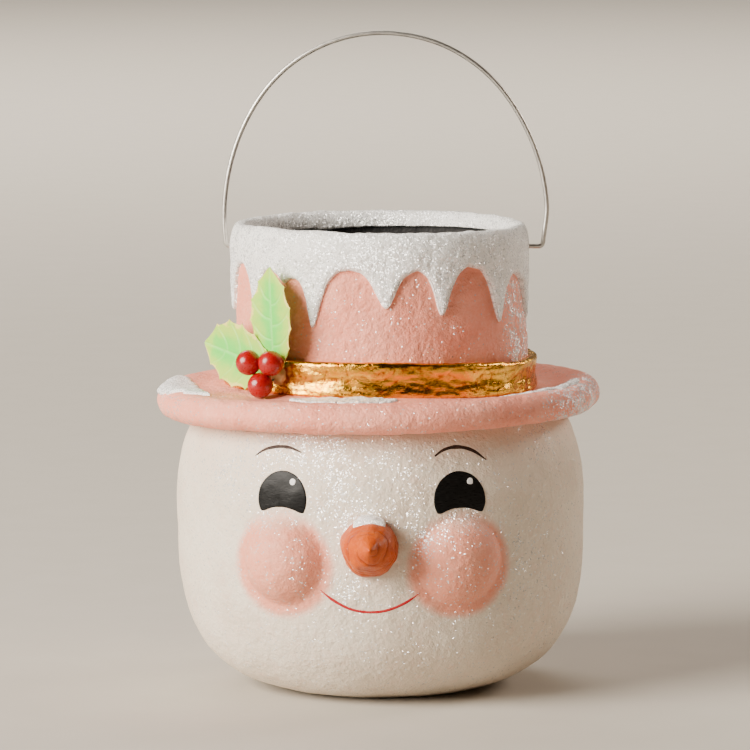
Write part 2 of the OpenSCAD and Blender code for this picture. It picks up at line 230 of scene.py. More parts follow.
def capped(loops):
    """Points and faces of a closed solid from a stack of closed loops, with a fan at each end."""
    loops = np.asarray(loops, float)
    rows, cols = loops.shape[:2]
    points = np.concatenate([loops.reshape(-1, 3), [loops[0].mean(0)], [loops[-1].mean(0)]])
    faces = grid_faces(rows, cols)
    start, end = rows * cols, rows * cols + 1
    for c in range(cols):
        d = (c + 1) % cols
        faces.append((start, d, c))
        faces.append((end, (rows - 1) * cols + c, (rows - 1) * cols + d))
    return points, faces


def resampled(outline, count, closed=False):
    """Points evenly spaced along a polyline of [radius, height]."""
    outline = np.asarray(outline, float)
    if closed:
        outline = np.concatenate([outline, outline[:1]])
    length = distance_along(outline)
    at = np.linspace(0, length[-1], count + 1)[:-1] if closed else np.linspace(0, length[-1], count)
    return np.stack([np.interp(at, length, outline[:, i]) for i in range(outline.shape[1])], axis=1)


def spun(section, azimuths):
    """A grid of points, a row for each point of a [radius, height] section."""
    return around(section[:, :1], azimuths, section[:, 1:])


def section_normals(section, closed=True):
    """Outward directions in [radius, height] for a section that runs anticlockwise."""
    if closed:
        ahead, behind = np.roll(section, -1, axis=0), np.roll(section, 1, axis=0)
    else:
        ahead = np.append(section[1:], section[-1:], axis=0)
        behind = np.append(section[:1], section[:-1], axis=0)
    along = ahead - behind
    return unit(np.stack([along[:, 1], -along[:, 0]], axis=1))


def arc(cx, cz, rx, rz, start, end, count, power=2.0):
    """Points on an ellipse-like arc, angles in degrees from outwards, upwards positive."""
    a = np.radians(np.linspace(start, end, count))
    c, s = np.cos(a), np.sin(a)
    return np.stack([cx + rx * np.sign(c) * abs(c) ** (2 / power),
                     cz + rz * np.sign(s) * abs(s) ** (2 / power)], axis=1)


# ---------- Materials ----------

class Nodes:
    """Adds shader nodes to a tree. An input is a constant or another node's output."""

    def __init__(self, tree):
        self.tree = tree

    def feed(self, node, key, value):
        if isinstance(value, bpy.types.NodeSocket):
            self.tree.links.new(value, node.inputs[key])
        else:
            node.inputs[key].default_value = value

    def node(self, kind, inputs=(), output=0, **settings):
        """Adds a node and gives one of its outputs."""
        made = self.tree.nodes.new(f"ShaderNode{kind}")
        for key, value in settings.items():
            setattr(made, key, value)
        for key, value in dict(inputs).items():
            self.feed(made, key, value)
        return made.outputs[output]

    def times(self, a, b, clamp=False):
        return self.node("Math", {0: a, 1: b}, operation="MULTIPLY", use_clamp=clamp)

    def plus(self, a, b, clamp=False):
        return self.node("Math", {0: a, 1: b}, operation="ADD", use_clamp=clamp)

    def span(self, value, low, high, to_low=0.0, to_high=1.0, smooth=False):
        return self.node("MapRange", {
            "Value": value, "From Min": low, "From Max": high, "To Min": to_low, "To Max": to_high,
        }, interpolation_type="SMOOTHSTEP" if smooth else "LINEAR")

    def mix(self, share, a, b, blend="MIX"):
        return self.node("Mix", {0: share, 6: a, 7: b}, 2, data_type="RGBA", blend_type=blend)


class Material(Nodes):
    """One Principled material. Positions are the object's own, and sizes are in millimetres."""

    def __init__(self, name, **constants):
        self.material = bpy.data.materials.new(name)
        self.material.use_nodes = True
        super().__init__(self.material.node_tree)
        self.shader = self.tree.nodes["Principled BSDF"]
        for socket, value in constants.items():
            self.shader.inputs[socket.replace("_", " ")].default_value = value

    def place(self):
        return self.node("TexCoord", output="Object")

    def mask(self, name):
        return self.node("Attribute", output="Fac", attribute_name=name)

    def noise(self, size_mm, detail=3.0, rough=0.55, stretch=None):
        where = self.place()
        if stretch:
            where = self.node("Mapping", {"Vector": where, "Scale": stretch})
        return self.node("TexNoise", {
            "Vector": where, "Scale": 1000 / size_mm, "Detail": detail, "Roughness": rough,
        }, "Fac")

    def bump(self, height, depth_mm, normal=None):
        inputs = {"Height": height, "Distance": depth_mm * MM, "Strength": 1.0}
        if normal is not None:
            inputs["Normal"] = normal
        return self.node("Bump", inputs)

    def finish(self, colour, roughness, normal=None, metallic=None):
        sockets = {"Base Color": colour, "Roughness": roughness, "Metallic": metallic, "Normal": normal}
        for socket, value in sockets.items():
            if value is not None:
                self.feed(self.shader, socket, value)
        return self.material


def rgb(r, g, b):
    return (r, g, b, 1.0)


PEARL = rgb(0.8, 0.7, 0.57)
PEARL_SHADE = rgb(0.72, 0.6, 0.47)
CHEEK_PINK = rgb(0.84, 0.29, 0.18)
HAT_PINK = rgb(0.88, 0.29, 0.19)
HAT_PINK_PALE = rgb(0.93, 0.36, 0.25)
HAT_PINK_WORN = rgb(0.97, 0.55, 0.43)
INSIDE_BLACK = rgb(0.012, 0.011, 0.011)
FLAKE_WHITE = rgb(0.98, 0.98, 0.98)


def glitter(m, colour, amount, flake_mm):
    """Scatters tilted metal flakes: the colour with flakes in it, the flake mask and the tilted normal."""
    cell = m.node("TexVoronoi", {"Vector": m.place(), "Scale": 1000 / flake_mm}, "Position")
    random = m.node("TexWhiteNoise", {"Vector": cell}, "Value", noise_dimensions="3D")
    flake = m.node("Math", {0: random, 1: amount}, operation="LESS_THAN")
    lean = m.node("VectorMath", {0: random.node.outputs["Color"], 1: (0.5, 0.5, 0.5)}, operation="SUBTRACT")
    lean = m.node("VectorMath", {0: lean, "Scale": m.times(flake, 1.15)}, operation="SCALE")
    surface = m.node("NewGeometry", output="Normal")
    normal = m.node("VectorMath", {0: surface, 1: lean}, operation="ADD")
    normal = m.node("VectorMath", {0: normal}, operation="NORMALIZE")
    return m.mix(m.times(flake, 0.9), colour, FLAKE_WHITE), flake, normal


def pulp_height(m):
    """The relief of painted paper pulp: soft dents, clots of fibre and a fine tooth."""
    dents = m.noise(7.5, detail=2.0)
    clots = m.noise(2.8, detail=4.0, rough=0.6)
    tooth = m.noise(1.25, detail=3.0, rough=0.6)
    return m.plus(m.plus(m.times(dents, 1.3), clots), m.times(tooth, 0.42))


def speckle(m, share):
    """Dabs of the sponge that the paint went on with, as a tint about 1."""
    dabs = m.noise(2.1, detail=4.0, rough=0.65)
    return m.span(dabs, 0.3, 0.7, 1 - share, 1 + share)


def painted_pulp(name):
    """The head and cheeks: pearly white, airbrushed pink, glitter in places, black inside."""
    m = Material(name)
    tone = m.span(m.noise(38, detail=2.0), 0.35, 0.7)
    base = m.mix(tone, PEARL, PEARL_SHADE)
    pink_edge = m.plus(m.mask("pink"), m.span(m.noise(6), 0.3, 0.7, -0.1, 0.1), clamp=True)
    pink = m.times(pink_edge, m.span(m.noise(2.6, detail=4.0), 0.3, 0.7, 0.86, 1.0))
    base = m.mix(pink, base, CHEEK_PINK)
    base = m.mix(1.0, base, m.node("CombineColor", {k: speckle(m, 0.035) for k in (0, 1, 2)}),
                 "MULTIPLY")
    # The glitter mask heaps white flakes where the key light catches: partly painted highlight.
    amount = m.times(m.mask("glitter"), m.span(m.noise(8, detail=3.0), 0.36, 0.64, 0.2, 1.35))
    base, flake, normal = glitter(m, base, amount, 0.72)
    base = m.mix(m.mask("inside"), base, INSIDE_BLACK)
    rough = m.span(flake, 0, 1, 0.6, 0.22)
    metal = m.times(flake, 0.4)
    return m.finish(base, rough, m.bump(pulp_height(m), 0.75, normal), metal)


def hat_paint():
    """The brim and crown: matte warm pink over lumpy pulp, glitter in places, black inside."""
    m = Material("pink_papier_mache")
    tone = m.span(m.noise(24, detail=3.0), 0.36, 0.68)
    base = m.mix(tone, HAT_PINK, HAT_PINK_PALE)
    worn = m.span(m.noise(1.9, detail=4.0), 0.48, 0.76, 0.0, 0.34)
    base = m.mix(worn, base, HAT_PINK_WORN)
    # The glitter mask is heaped on the right, where the rim light falls: partly painted highlight.
    amount = m.times(m.mask("glitter"), m.span(m.noise(7, detail=3.0), 0.36, 0.64, 0.1, 1.4))
    base, flake, normal = glitter(m, base, amount, 0.72)
    base = m.mix(m.mask("inside"), base, INSIDE_BLACK)
    rough = m.span(flake, 0, 1, 0.7, 0.25)
    return m.finish(base, rough, m.bump(pulp_height(m), 1.0, normal), m.times(flake, 0.45))


def snow_paste(name, flake_mm, amount, shade):
    """Icing and snow: white paste crusted with glitter."""
    m = Material(name)
    tone = m.span(m.noise(14, detail=3.0), 0.34, 0.7)
    base = m.mix(tone, rgb(0.9, 0.89, 0.87), shade)
    strength = m.span(m.noise(7, detail=4.0), 0.34, 0.62, amount * 0.35, amount)
    base, flake, normal = glitter(m, base, strength, flake_mm)
    grain = m.noise(1.5, detail=4.0, rough=0.65)
    crust = m.plus(m.times(m.noise(5, detail=2.0), 1.4), grain)
    rough = m.span(flake, 0, 1, 0.55, 0.2)
    return m.finish(base, rough, m.bump(crust, 0.7, normal), m.times(flake, 0.4))


def carrot_paint():
    m = Material("orange_paint", Specular_IOR_Level=0.3)
    groove = m.mask("groove")
    tone = m.span(m.noise(6, detail=3.0), 0.35, 0.68)
    base = m.mix(tone, rgb(0.46, 0.058, 0.0), rgb(0.58, 0.098, 0.0))
    base = m.mix(m.times(groove, 0.85, clamp=True), base, rgb(0.2, 0.02, 0.0))
    grain = m.noise(1.6, detail=4.0)
    return m.finish(base, m.span(grain, 0.3, 0.7, 0.36, 0.52), m.bump(grain, 0.4))


def enamel(name, colour, streak, roughness=0.24):
    """A brushed-on gloss film; streak is the colour that thin strokes show."""
    m = Material(name, Specular_IOR_Level=0.12)
    strokes = m.noise(1.6, detail=3.0, stretch=(0.35, 1.0, 3.0))
    base = m.mix(m.span(strokes, 0.5, 0.74), colour, streak)
    return m.finish(base, m.span(strokes, 0.3, 0.7, roughness, roughness + 0.16), m.bump(strokes, 0.08))


def gold_leaf():
    """Crinkled gold leaf, darker and coppery in the creases."""
    m = Material("gold_leaf", Metallic=1.0)
    crease = m.mask("crease")
    tone = m.span(m.noise(7, detail=4.0), 0.32, 0.7)
    base = m.mix(tone, rgb(0.8, 0.35, 0.012), rgb(0.96, 0.55, 0.07))
    # Darker copper laid into the creases.
    crease_darkened = m.times(crease, m.span(m.noise(3, detail=4.0), 0.42, 0.62), clamp=True)
    base = m.mix(crease_darkened, base, rgb(0.34, 0.075, 0.003))
    fine = m.noise(1.3, detail=4.0, rough=0.7)
    wrinkle = m.noise(5, detail=3.0, stretch=(0.45, 0.45, 1.5))
    rough = m.span(m.noise(5, detail=3.0), 0.3, 0.7, 0.12, 0.3)
    return m.finish(base, rough, m.bump(m.plus(fine, m.times(wrinkle, 2.2)), 0.22))


def leaf_green():
    """Mint in the middle, yellow-green at the edge, with paler veins."""
    m = Material("leaf_green")
    edge = m.plus(m.mask("edge"), m.span(m.noise(6), 0.3, 0.7, -0.14, 0.14), clamp=True)
    base = m.mix(m.span(edge, 0.1, 0.85, smooth=True), rgb(0.11, 0.66, 0.055), rgb(0.42, 0.66, 0.05))
    base = m.mix(m.span(edge, 0.9, 0.99), base, rgb(0.8, 0.7, 0.16))
    base = m.mix(m.times(m.mask("vein"), 0.45), base, rgb(0.4, 0.84, 0.2))
    grain = m.noise(0.8, detail=3.0)
    return m.finish(base, 0.52, m.bump(grain, 0.1))


def berry_red():
    m = Material("berry_red", Coat_Weight=0.25, Coat_Roughness=0.14)
    tone = m.span(m.noise(5, detail=2.0), 0.3, 0.7)
    base = m.mix(tone, rgb(0.27, 0.0, 0.001), rgb(0.36, 0.0, 0.002))
    mottle = m.noise(1.3, detail=3.0)
    return m.finish(base, m.span(mottle, 0.3, 0.7, 0.24, 0.34), m.bump(mottle, 0.05))


def galvanised():
    m = Material("galvanised_wire", Metallic=1.0)
    spangle = m.noise(5, detail=4.0)
    base = m.mix(m.span(spangle, 0.35, 0.66), rgb(0.5, 0.48, 0.45), rgb(0.62, 0.6, 0.56))
    scuff = m.noise(0.9, detail=4.0)
    return m.finish(base, m.span(scuff, 0.3, 0.7, 0.3, 0.5), m.bump(scuff, 0.05))


def plain_with_grain(name, a, b, size, roughness):
    m = Material(name)
    grain = m.noise(size, detail=4.0)
    return m.finish(m.mix(m.span(grain, 0.3, 0.7), a, b), roughness, m.bump(grain, 0.1))


LOOKS = {
    "white_papier_mache": painted_pulp("white_papier_mache"),
    "cheek_papier_mache": painted_pulp("cheek_papier_mache"),
    "pink_papier_mache": hat_paint(),
    "glitter_icing": snow_paste("glitter_icing", 0.8, 0.5, rgb(0.82, 0.8, 0.77)),
    "glitter_snow": snow_paste("glitter_snow", 0.72, 0.45, rgb(0.84, 0.83, 0.82)),
    "orange_papier_mache": carrot_paint(),
    "black_enamel": enamel("black_enamel", rgb(0.004, 0.004, 0.004), rgb(0.012, 0.011, 0.011)),
    "white_enamel": enamel("white_enamel", rgb(0.84, 0.83, 0.81), rgb(0.7, 0.69, 0.67)),
    "brown_enamel": enamel("brown_enamel", rgb(0.035, 0.022, 0.018), rgb(0.09, 0.055, 0.042), 0.4),
    "red_enamel": enamel("red_enamel", rgb(0.42, 0.016, 0.022), rgb(0.56, 0.05, 0.05), 0.36),
    "gold_foil": gold_leaf(),
    "green_leaf": leaf_green(),
    "red_berry": berry_red(),
    "galvanised_wire": galvanised(),
    "green_wire": plain_with_grain("stem_green", rgb(0.05, 0.09, 0.025), rgb(0.09, 0.15, 0.05), 0.8, 0.7),
    "clear_glue": plain_with_grain("set_glue", rgb(0.5, 0.3, 0.1), rgb(0.6, 0.4, 0.16), 3.0, 0.3),
}


# ---------- Head ----------

def head_radius(z):
    z = np.asarray(z, float)
    low = np.clip((HEAD_MID_Z - z) / (HEAD_MID_Z + BASE_CUT), 0, 1)
    high = np.clip((z - HEAD_MID_Z) / DOME_H, 0, 0.98)
    below = HEAD_R * (1 - low ** HEAD_POWER) ** (1 / HEAD_POWER)
    return np.where(z < HEAD_MID_Z, below, HEAD_R * np.sqrt(1 - high ** 2))[()]


CHEEK_CENTRES = {side: around(head_radius(CHEEK_Z), side * CHEEK_AZ, CHEEK_Z) for side in (1, -1)}


def cheek_distance(points, side):
    """How far points on the head lie from a cheek's middle, measured flat; far away behind the head."""
    out = np.array([math.sin(side * CHEEK_AZ), -math.cos(side * CHEEK_AZ), 0])
    offset = points - CHEEK_CENTRES[side]
    depth = offset @ out
    flat = np.linalg.norm(offset - depth[..., None] * out, axis=-1)
    return np.where(depth > -60, flat, 999)


def cheek_swell(distance):
    """Height of a cheek above the head: a ball's cap with a soft hollow where it meets the head."""
    soft = 3.2
    cap = np.sqrt(np.maximum(CHEEK_BALL_R ** 2 - distance ** 2, 0)) - (CHEEK_BALL_R - CHEEK_RISE)
    blend = np.clip((cap + soft) / (2 * soft), 0, 1)
    return np.where(cap > soft, cap, np.where(cap < -soft, 0, soft * blend * blend))


def skin(az, z):
    """The head's outer surface, with its cheeks and the unevenness of hand-laid pulp."""
    az, z = np.broadcast_arrays(np.asarray(az, float), np.asarray(z, float))
    step = 0.5
    slope = np.clip((head_radius(z + step) - head_radius(z - step)) / (2 * step), -3, 6)
    base = around(head_radius(z), az, z)
    out = around(1.0, az, -slope) / np.sqrt(1 + slope ** 2)[..., None]
    lift = sum(cheek_swell(cheek_distance(base, side)) for side in (1, -1))
    lift = lift + uneven(base, [0.75, 60, 1], [0.4, 24, 2], [0.16, 9, 3], [0.07, 4.2, 4])
    return base + out * lift[..., None]


def skin_normal(az, z):
    step = 0.4
    across = skin(az + step / HEAD_R, z) - skin(az - step / HEAD_R, z)
    return unit(np.cross(across, skin(az, z + step) - skin(az, z - step)))


def film_points(az, z, lift):
    return skin(az, z) + skin_normal(az, z) * np.asarray(lift)[..., None]


# Drifts of glitter on the face, heaped where the key light catches, so partly real glitter and partly
# painted highlight: [azimuth in degrees, height, spread, share of flakes]
GLITTER_HIGHLIGHT_DRIFTS = [
    [-24, 149, 17, 0.42], [-12, 152, 14, 0.3], [-9, 121, 13, 0.3], [-5, 109, 9, 0.34], [-6, 71, 10, 0.22],
    [16, 101, 9, 0.4], [-30, 109, 8, 0.36], [-28, 96, 4.5, 0.4], [58, 155, 12, 0.22], [48, 88, 26, 0.09],
    [-42, 136, 22, 0.15], [26, 112, 9, 0.24], [5, 130, 22, 0.1],
]


def skin_masks(points):
    """Where the paint is pink and where the glitter lies, for points on the head; the glitter is heaped
    where highlights fall, as painted highlight.
    """
    z = points[..., 2]
    pink = np.zeros(z.shape)
    for side in (1, -1):
        away = cheek_distance(points, side)
        low = away - 0.12 * np.clip(CHEEK_Z - z, -14, 14)
        pink = np.maximum(pink, smooth_step(34, 27, low) * (1 - 0.55 * smooth_step(14, 28, z - CHEEK_Z)))
    glitter_and_highlight = np.full(z.shape, 0.03)
    for degrees, height, spread, share in GLITTER_HIGHLIGHT_DRIFTS:
        middle = around(head_radius(height), math.radians(degrees), height)
        gap = np.linalg.norm(points - middle, axis=-1)
        glitter_and_highlight += share * np.exp(-(gap / spread) ** 2)
    return pink, glitter_and_highlight


FACE_COLS = 420


def face_azimuths(count):
    """Azimuths right round, closer together at the face."""
    t = np.linspace(-math.pi, math.pi, count, endpoint=False)
    return t - 0.28 * np.sin(t)


def build_head():
    az = face_azimuths(FACE_COLS)
    side_z = np.concatenate([[0.5], resampled(
        [[head_radius(z), z] for z in np.linspace(1.6, DECK_Z, 400)], 166)[:, 1]])
    inner_z = np.linspace(DECK_Z - WALL, WALL + 1, 46)
    hole_r = CROWN_R - 2.9
    inner_r = head_radius(inner_z) - WALL
    inner_r[-1] -= 6
    base_rows = spun(np.array([[r, 0.0] for r in (4, 18, 34, 46, 53)]), az)
    side_rows = skin(az[None], side_z[:, None])
    side_rows[0] *= 0.985 * LEVEL
    deck = [[hole_r + (head_radius(DECK_Z) - hole_r) * t, DECK_Z] for t in (0.66, 0.33, 0)]
    deck += [[hole_r, DECK_Z - WALL], [hole_r + 8, DECK_Z - WALL]]
    deck_rows = spun(np.array(deck), az)
    inner_rows = spun(np.stack([inner_r, inner_z], axis=1), az)
    inner_rows[..., :2] *= (1 + uneven(inner_rows, [0.004, 18, 5], [0.002, 6, 6]))[..., None]
    floor_rows = spun(np.array([[r, WALL] for r in (44, 30, 16, 4)]), az)
    floor_rows[..., 2] += 0.4 * lumps(floor_rows, 14, 7)
    loops = np.concatenate([base_rows, side_rows, deck_rows, inner_rows, floor_rows])
    inside = np.zeros(loops.shape[:2])
    inside[len(base_rows) + len(side_rows):] = 1
    # The glitter mask is heaped where highlights fall: partly painted highlight.
    pink, glint = skin_masks(loops)
    masks = {"inside": inside, "pink": pink, "glitter": glint * (1 - inside)}
    add_mesh("head", capped(loops), "head_shell", "white_papier_mache", masks)


def rim_rings(first, count):
    """Shares of a radius from the first out to 1, closer together towards the rim."""
    return 1 - (1 - np.linspace(first, 1, count)) ** 1.5


def on_circle(angles, radius):
    return np.stack([radius * np.cos(angles), radius * np.sin(angles), 0 * angles], axis=-1)


def polar_patch(outline, rings, cols, centre=(0, 0)):
    """Offsets [across, up] on rings from a centre out to an outline radius given by angle."""
    angles = np.linspace(0, TURN, cols, endpoint=False)
    reach = outline(angles)
    share = np.asarray(rings)[:, None]
    x = centre[0] + share * reach * np.cos(angles)
    y = centre[1] + share * reach * np.sin(angles)
    return x, y, (1 - share) * reach


def build_cheek(side, name, node):
    """A cheek's own skin, a hair proud of the head's and dipping under it at the rim."""
    reach = 34
    rings = np.linspace(0.02, 1, 58)
    x, y, _ = polar_patch(lambda a: 0 * a + reach, rings, 170)
    az, z = side * CHEEK_AZ + x / HEAD_R, CHEEK_Z + y
    away = np.hypot(x, y)
    lift = 0.14 - 0.6 * smooth_step(reach - 9, reach, away)
    middle = around(head_radius(z[:1]) - 2, az[:1], z[:1])
    loops = np.concatenate([film_points(az, z, lift), film_points(az[-1:], z[-1:], -2), middle])
    # The glitter mask is heaped where highlights fall: partly painted highlight.
    pink, glint = skin_masks(loops)
    masks = {"inside": 0 * pink, "pink": pink, "glitter": glint}
    add_mesh(name, capped(loops), node, "cheek_papier_mache", masks)


# ---------- Painted face ----------

def build_film(name, node, az0, z0, patch, thick, slot, edge=0.9, under=0.0):
    """A paint film over a polar patch: rounded at its edge and closed behind."""
    x, y, inset = patch
    az, z = az0 + x / HEAD_R, z0 + y
    lift = under + thick * rounded_edge(inset, edge) - 0.12 * (inset <= 1e-6)
    back = [film_points(az[row], z[row], under - 0.8) for row in (slice(-1, None), slice(1))]
    add_mesh(name, capped(np.concatenate([film_points(az, z, lift), *back])), node, slot)


def eye_outline(angles):
    """Distance from a point above the eye's lower edge to its outline."""
    start = np.array([0.0, 3.0])
    lid_r, lid_y = 26.0, -26.0 - 0.3 * EYE_R
    direction = np.stack([np.cos(angles), np.sin(angles)], axis=1)
    b = direction @ start
    disc = -b + np.sqrt(b * b - start @ start + EYE_R ** 2)
    to_lid = start - np.array([0, lid_y])
    b = direction @ to_lid
    root = b * b - to_lid @ to_lid + lid_r ** 2
    lid = np.where((root > 0) & (b < 0), -b - np.sqrt(np.maximum(root, 0)), 99)
    reach = np.minimum(disc, lid)
    kernel = np.ones(5) / 5
    padded = np.concatenate([reach[-2:], reach, reach[:2]])
    reach = np.convolve(padded, kernel, mode="valid")
    return reach + 0.12 * lumps(on_circle(angles, 6), 2.2, 11)


def build_eye(side, name, node):
    patch = polar_patch(eye_outline, rim_rings(0.03, 26), 200, (0, 3))
    build_film(name, node, side * EYE_AZ, EYE_Z, patch, 0.42, "black_enamel")


def build_glint(side, name, node, seed):
    patch = polar_patch(lambda a: 1.9 + 0.22 * lumps(on_circle(a, 1), 0.9, seed), rim_rings(0.05, 8), 36)
    az0, z0 = side * EYE_AZ + math.radians(3.2), EYE_Z + 0.62 * EYE_R
    build_film(name, node, az0, z0, patch, 0.26, "white_enamel", 0.7, 0.4)


def build_stroke(name, node, path, widths, slot):
    """A brush stroke along a path of [across, height], domed and closed behind."""
    along = unit(np.gradient(path, axis=0))
    side = np.stack([-along[:, 1], along[:, 0]], axis=1)
    q = np.linspace(-1, 1, 9)
    x, y = (path[:, i, None] + side[:, i, None] * q * widths[:, None] / 2 for i in (0, 1))
    az = x / HEAD_R
    front = film_points(az, y, STROKE_T * np.sqrt(1 - 0.999 * q ** 2) * np.ones_like(x) - 0.04)
    back = film_points(az[:, ::-1], y[:, ::-1], -0.7)
    add_mesh(name, capped(np.concatenate([front, back], axis=1)), node, slot)


# Each brow from its left end to its right end: [degrees from the face's middle, height]
BROWS = {-1: [[-35.6, 144.9], [-33.4, 148], [-28.5, 150.8], [-24, 150.6], [-20.3, 148.4]],
         1: [[18.6, 146.6], [21.2, 149.6], [26.7, 151], [31, 148.4], [34.6, 143.2]]}
BROW_LINES = {-1: 1.9, 1: 2.3}


def smooth_path(points, count):
    """A curve through the given points, evenly spaced."""
    points = np.asarray(points, float)
    at = distance_along(points)
    slope = np.gradient(points, at, axis=0)
    t = np.linspace(0, at[-1], count)
    k = np.clip(np.searchsorted(at, t, side="right") - 1, 0, len(at) - 2)
    span = (at[k + 1] - at[k])[:, None]
    u = ((t - at[k])[:, None]) / span
    return ((2 * u ** 3 - 3 * u ** 2 + 1) * points[k] + (u ** 3 - 2 * u ** 2 + u) * span * slope[k]
            + (3 * u ** 2 - 2 * u ** 3) * points[k + 1] + (u ** 3 - u ** 2) * span * slope[k + 1])


def build_brow(side, name, node):
    """An arched brow, laid on with one stroke that presses harder in its middle."""
    corners = np.array([[math.radians(a) * HEAD_R, z] for a, z in BROWS[side]])
    path = smooth_path(corners, 70)
    t = np.linspace(0, 1, 70)
    widths = BROW_LINES[side] * np.clip(np.sin(math.pi * (0.06 + 0.9 * t)), 0.1, 1) ** 0.6
    widths *= 1 + 0.14 * lumps(np.stack([path[:, 0], path[:, 1], 0 * t], axis=1), 5, 14 + side)
    build_stroke(name, node, path, widths, "brown_enamel")


def build_smile():
    radius, half_w = 45.0, 28.25
    x = np.linspace(-half_w - 0.5, half_w, 150)
    y = 59.2 + radius - np.sqrt(radius ** 2 - x ** 2)
    y += np.where(x < 0, 0.0024, 0.0008) * x ** 2
    waver = np.stack([x, 0 * x, 0 * x], axis=1)
    path = np.stack([x, y + 0.25 * lumps(waver, 14, 15)], axis=1)
    ends = np.minimum(x + half_w + 0.5, half_w - x)
    widths = 1.65 * (1 + 0.14 * lumps(waver, 6, 16)) * (0.3 + 0.7 * smooth_step(0, 7, ends))
    build_stroke("smile_line", "smile", path, widths, "red_enamel")


# ---------- Nose ----------

NOSE_BASE = np.array([0, -head_radius(NOSE_Z), NOSE_Z])
NOSE_AXIS = np.array([math.sin(NOSE_YAW) * math.cos(NOSE_TILT), -math.cos(NOSE_YAW) * math.cos(NOSE_TILT),
                      math.sin(NOSE_TILT)])
NOSE_SIDE = np.array([math.cos(NOSE_YAW), math.sin(NOSE_YAW), 0])
NOSE_UP = np.cross(NOSE_AXIS, NOSE_SIDE)
# Carved crescents: [share of the length, middle angle from the top, half spread, depth]
GROOVES = [[0.2, 215, 62, 0.75], [0.3, 95, 55, 0.9], [0.42, 190, 70, 0.9], [0.5, 285, 58, 0.95],
           [0.6, 80, 60, 0.8], [0.66, 350, 42, 0.6], [0.72, 205, 75, 0.8], [0.85, 110, 80, 0.6]]


def nose_radius(w):
    return NOSE_R * (1 - np.clip(w / NOSE_LEN, 0, 1) ** 1.7) ** 0.85


def nose_point(w, theta, out=0.0):
    """A point on the nose at a distance along it and an angle from its top, and its groove mask."""
    t = np.clip(w / NOSE_LEN, 0, 1)
    radius = nose_radius(w) + 0 * theta
    carved = np.zeros(radius.shape)
    for share, middle, spread, depth in GROOVES:
        turn = degrees_from(middle, theta)
        line = share + 0.0007 * turn + 0.012 * np.sin(turn / 15 + share * 20)
        near = np.exp(-((t - line) * NOSE_LEN / 0.75) ** 2)
        carved = np.maximum(carved, depth * near * smooth_step(spread, spread * 0.4, abs(turn)))
    centre = NOSE_BASE + NOSE_AXIS * w[..., None]
    ring = NOSE_SIDE * np.sin(theta)[..., None] + NOSE_UP * np.cos(theta)[..., None]
    rough = centre + ring * radius[..., None]
    bulge = uneven(rough, [0.95, 13, 21], [0.45, 6, 22], [0.14, 2.6, 25])
    keep = np.clip(radius / 7, 0.25, 1)
    return centre + ring * (radius + (bulge - carved) * keep + out)[..., None], carved


def build_nose():
    t = np.concatenate([[-0.2, -0.1], 1 - (1 - np.linspace(0, 0.9985, 100)) ** 1.35])
    theta = np.linspace(0, TURN, 170, endpoint=False)
    w, theta = np.meshgrid(t * NOSE_LEN, theta, indexing="ij")
    loops, carved = nose_point(w, theta)
    add_mesh("nose", capped(loops), "carrot_nose", "orange_papier_mache", {"groove": np.clip(carved, 0, 1)})


def build_nose_snow():
    """A crescent of snow on top of the nose, rounded at its root and straight in front."""
    front_w, half_x, depth = 12.0, 9.5, 12.0

    def outline(a):
        down = np.sin(a) < 0
        reach = 1 / np.sqrt((np.cos(a) / half_x) ** 2 + (np.sin(a) / np.where(down, depth, 2.2)) ** 2)
        return reach * (1 + 0.06 * lumps(on_circle(a, 5), 2, 23))

    x, y, inset = polar_patch(outline, rim_rings(0.03, 30), 150)
    w = np.maximum(front_w + y, 0.2)
    theta = x / np.maximum(nose_radius(w), 9)
    front, _ = nose_point(w, theta, 2.0 * rounded_edge(inset, 2.2) - 0.3)
    front += NOSE_UP * (0.3 * lumps(front, 4, 24) * rounded_edge(inset, 2))[..., None]
    back = [nose_point(w[row], theta[row], -1.2)[0] for row in (slice(-1, None), slice(1))]
    add_mesh("nose_snow_cap", capped(np.concatenate([front, *back])), "nose_snow", "glitter_snow")


# ---------- Hat ----------

ROLL_W = 9.9
ROLL_R = BRIM_R - ROLL_W
ROLL_Z = (BRIM_TOP_Z + BRIM_LOW_Z) / 2
ROLL_H = (BRIM_TOP_Z - BRIM_LOW_Z) / 2
DISH_R = BAND_R + 0.35 * (ROLL_R - BAND_R)
DISH = 1.6
LEAN = 0.0145
RIGHT_SAG = 3.9
RIGHT_SIDE = [5, 72, 120, 170]
RING_AZ = face_azimuths(FACE_COLS)


def window(az, rise_from, rise_to, fall_from, fall_to):
    """1 over a span of azimuths in degrees, with soft ends."""
    degrees = degrees_from(0, az)
    return smooth_step(rise_from, rise_to, degrees) * smooth_step(fall_to, fall_from, degrees)


def azimuth_of(points):
    return np.arctan2(points[..., 0], -points[..., 1])


def radius_of(points):
    return np.hypot(points[..., 0], points[..., 1])


def pushed_out(points, distance):
    return points + unit(points * LEVEL) * distance[..., None]


def settled(points):
    """Leans and sags points of the brim, and of what lies on it, the way soft pulp dries."""
    flat, radius = points * LEVEL, radius_of(points)
    roll = smooth_step(BAND_R + 2, ROLL_R + 4, radius)
    sag = RIGHT_SAG * window(azimuth_of(points), *RIGHT_SIDE) * smooth_step(117, 97, radius)
    moved = pushed_out(points, 0.8 * roll * lumps(flat, 70, 33))
    moved[..., 0] -= 1.1 * roll
    moved[..., 2] += roll * (uneven(flat, [0.9, 95, 31], [0.45, 38, 32]) + LEAN * points[..., 0]) - sag
    return moved


def pulp_relief(points, seed, scale=1.0):
    return scale * uneven(points, [0.42, 17, seed], [0.2, 7, seed + 1], [0.08, 3.4, seed + 2])


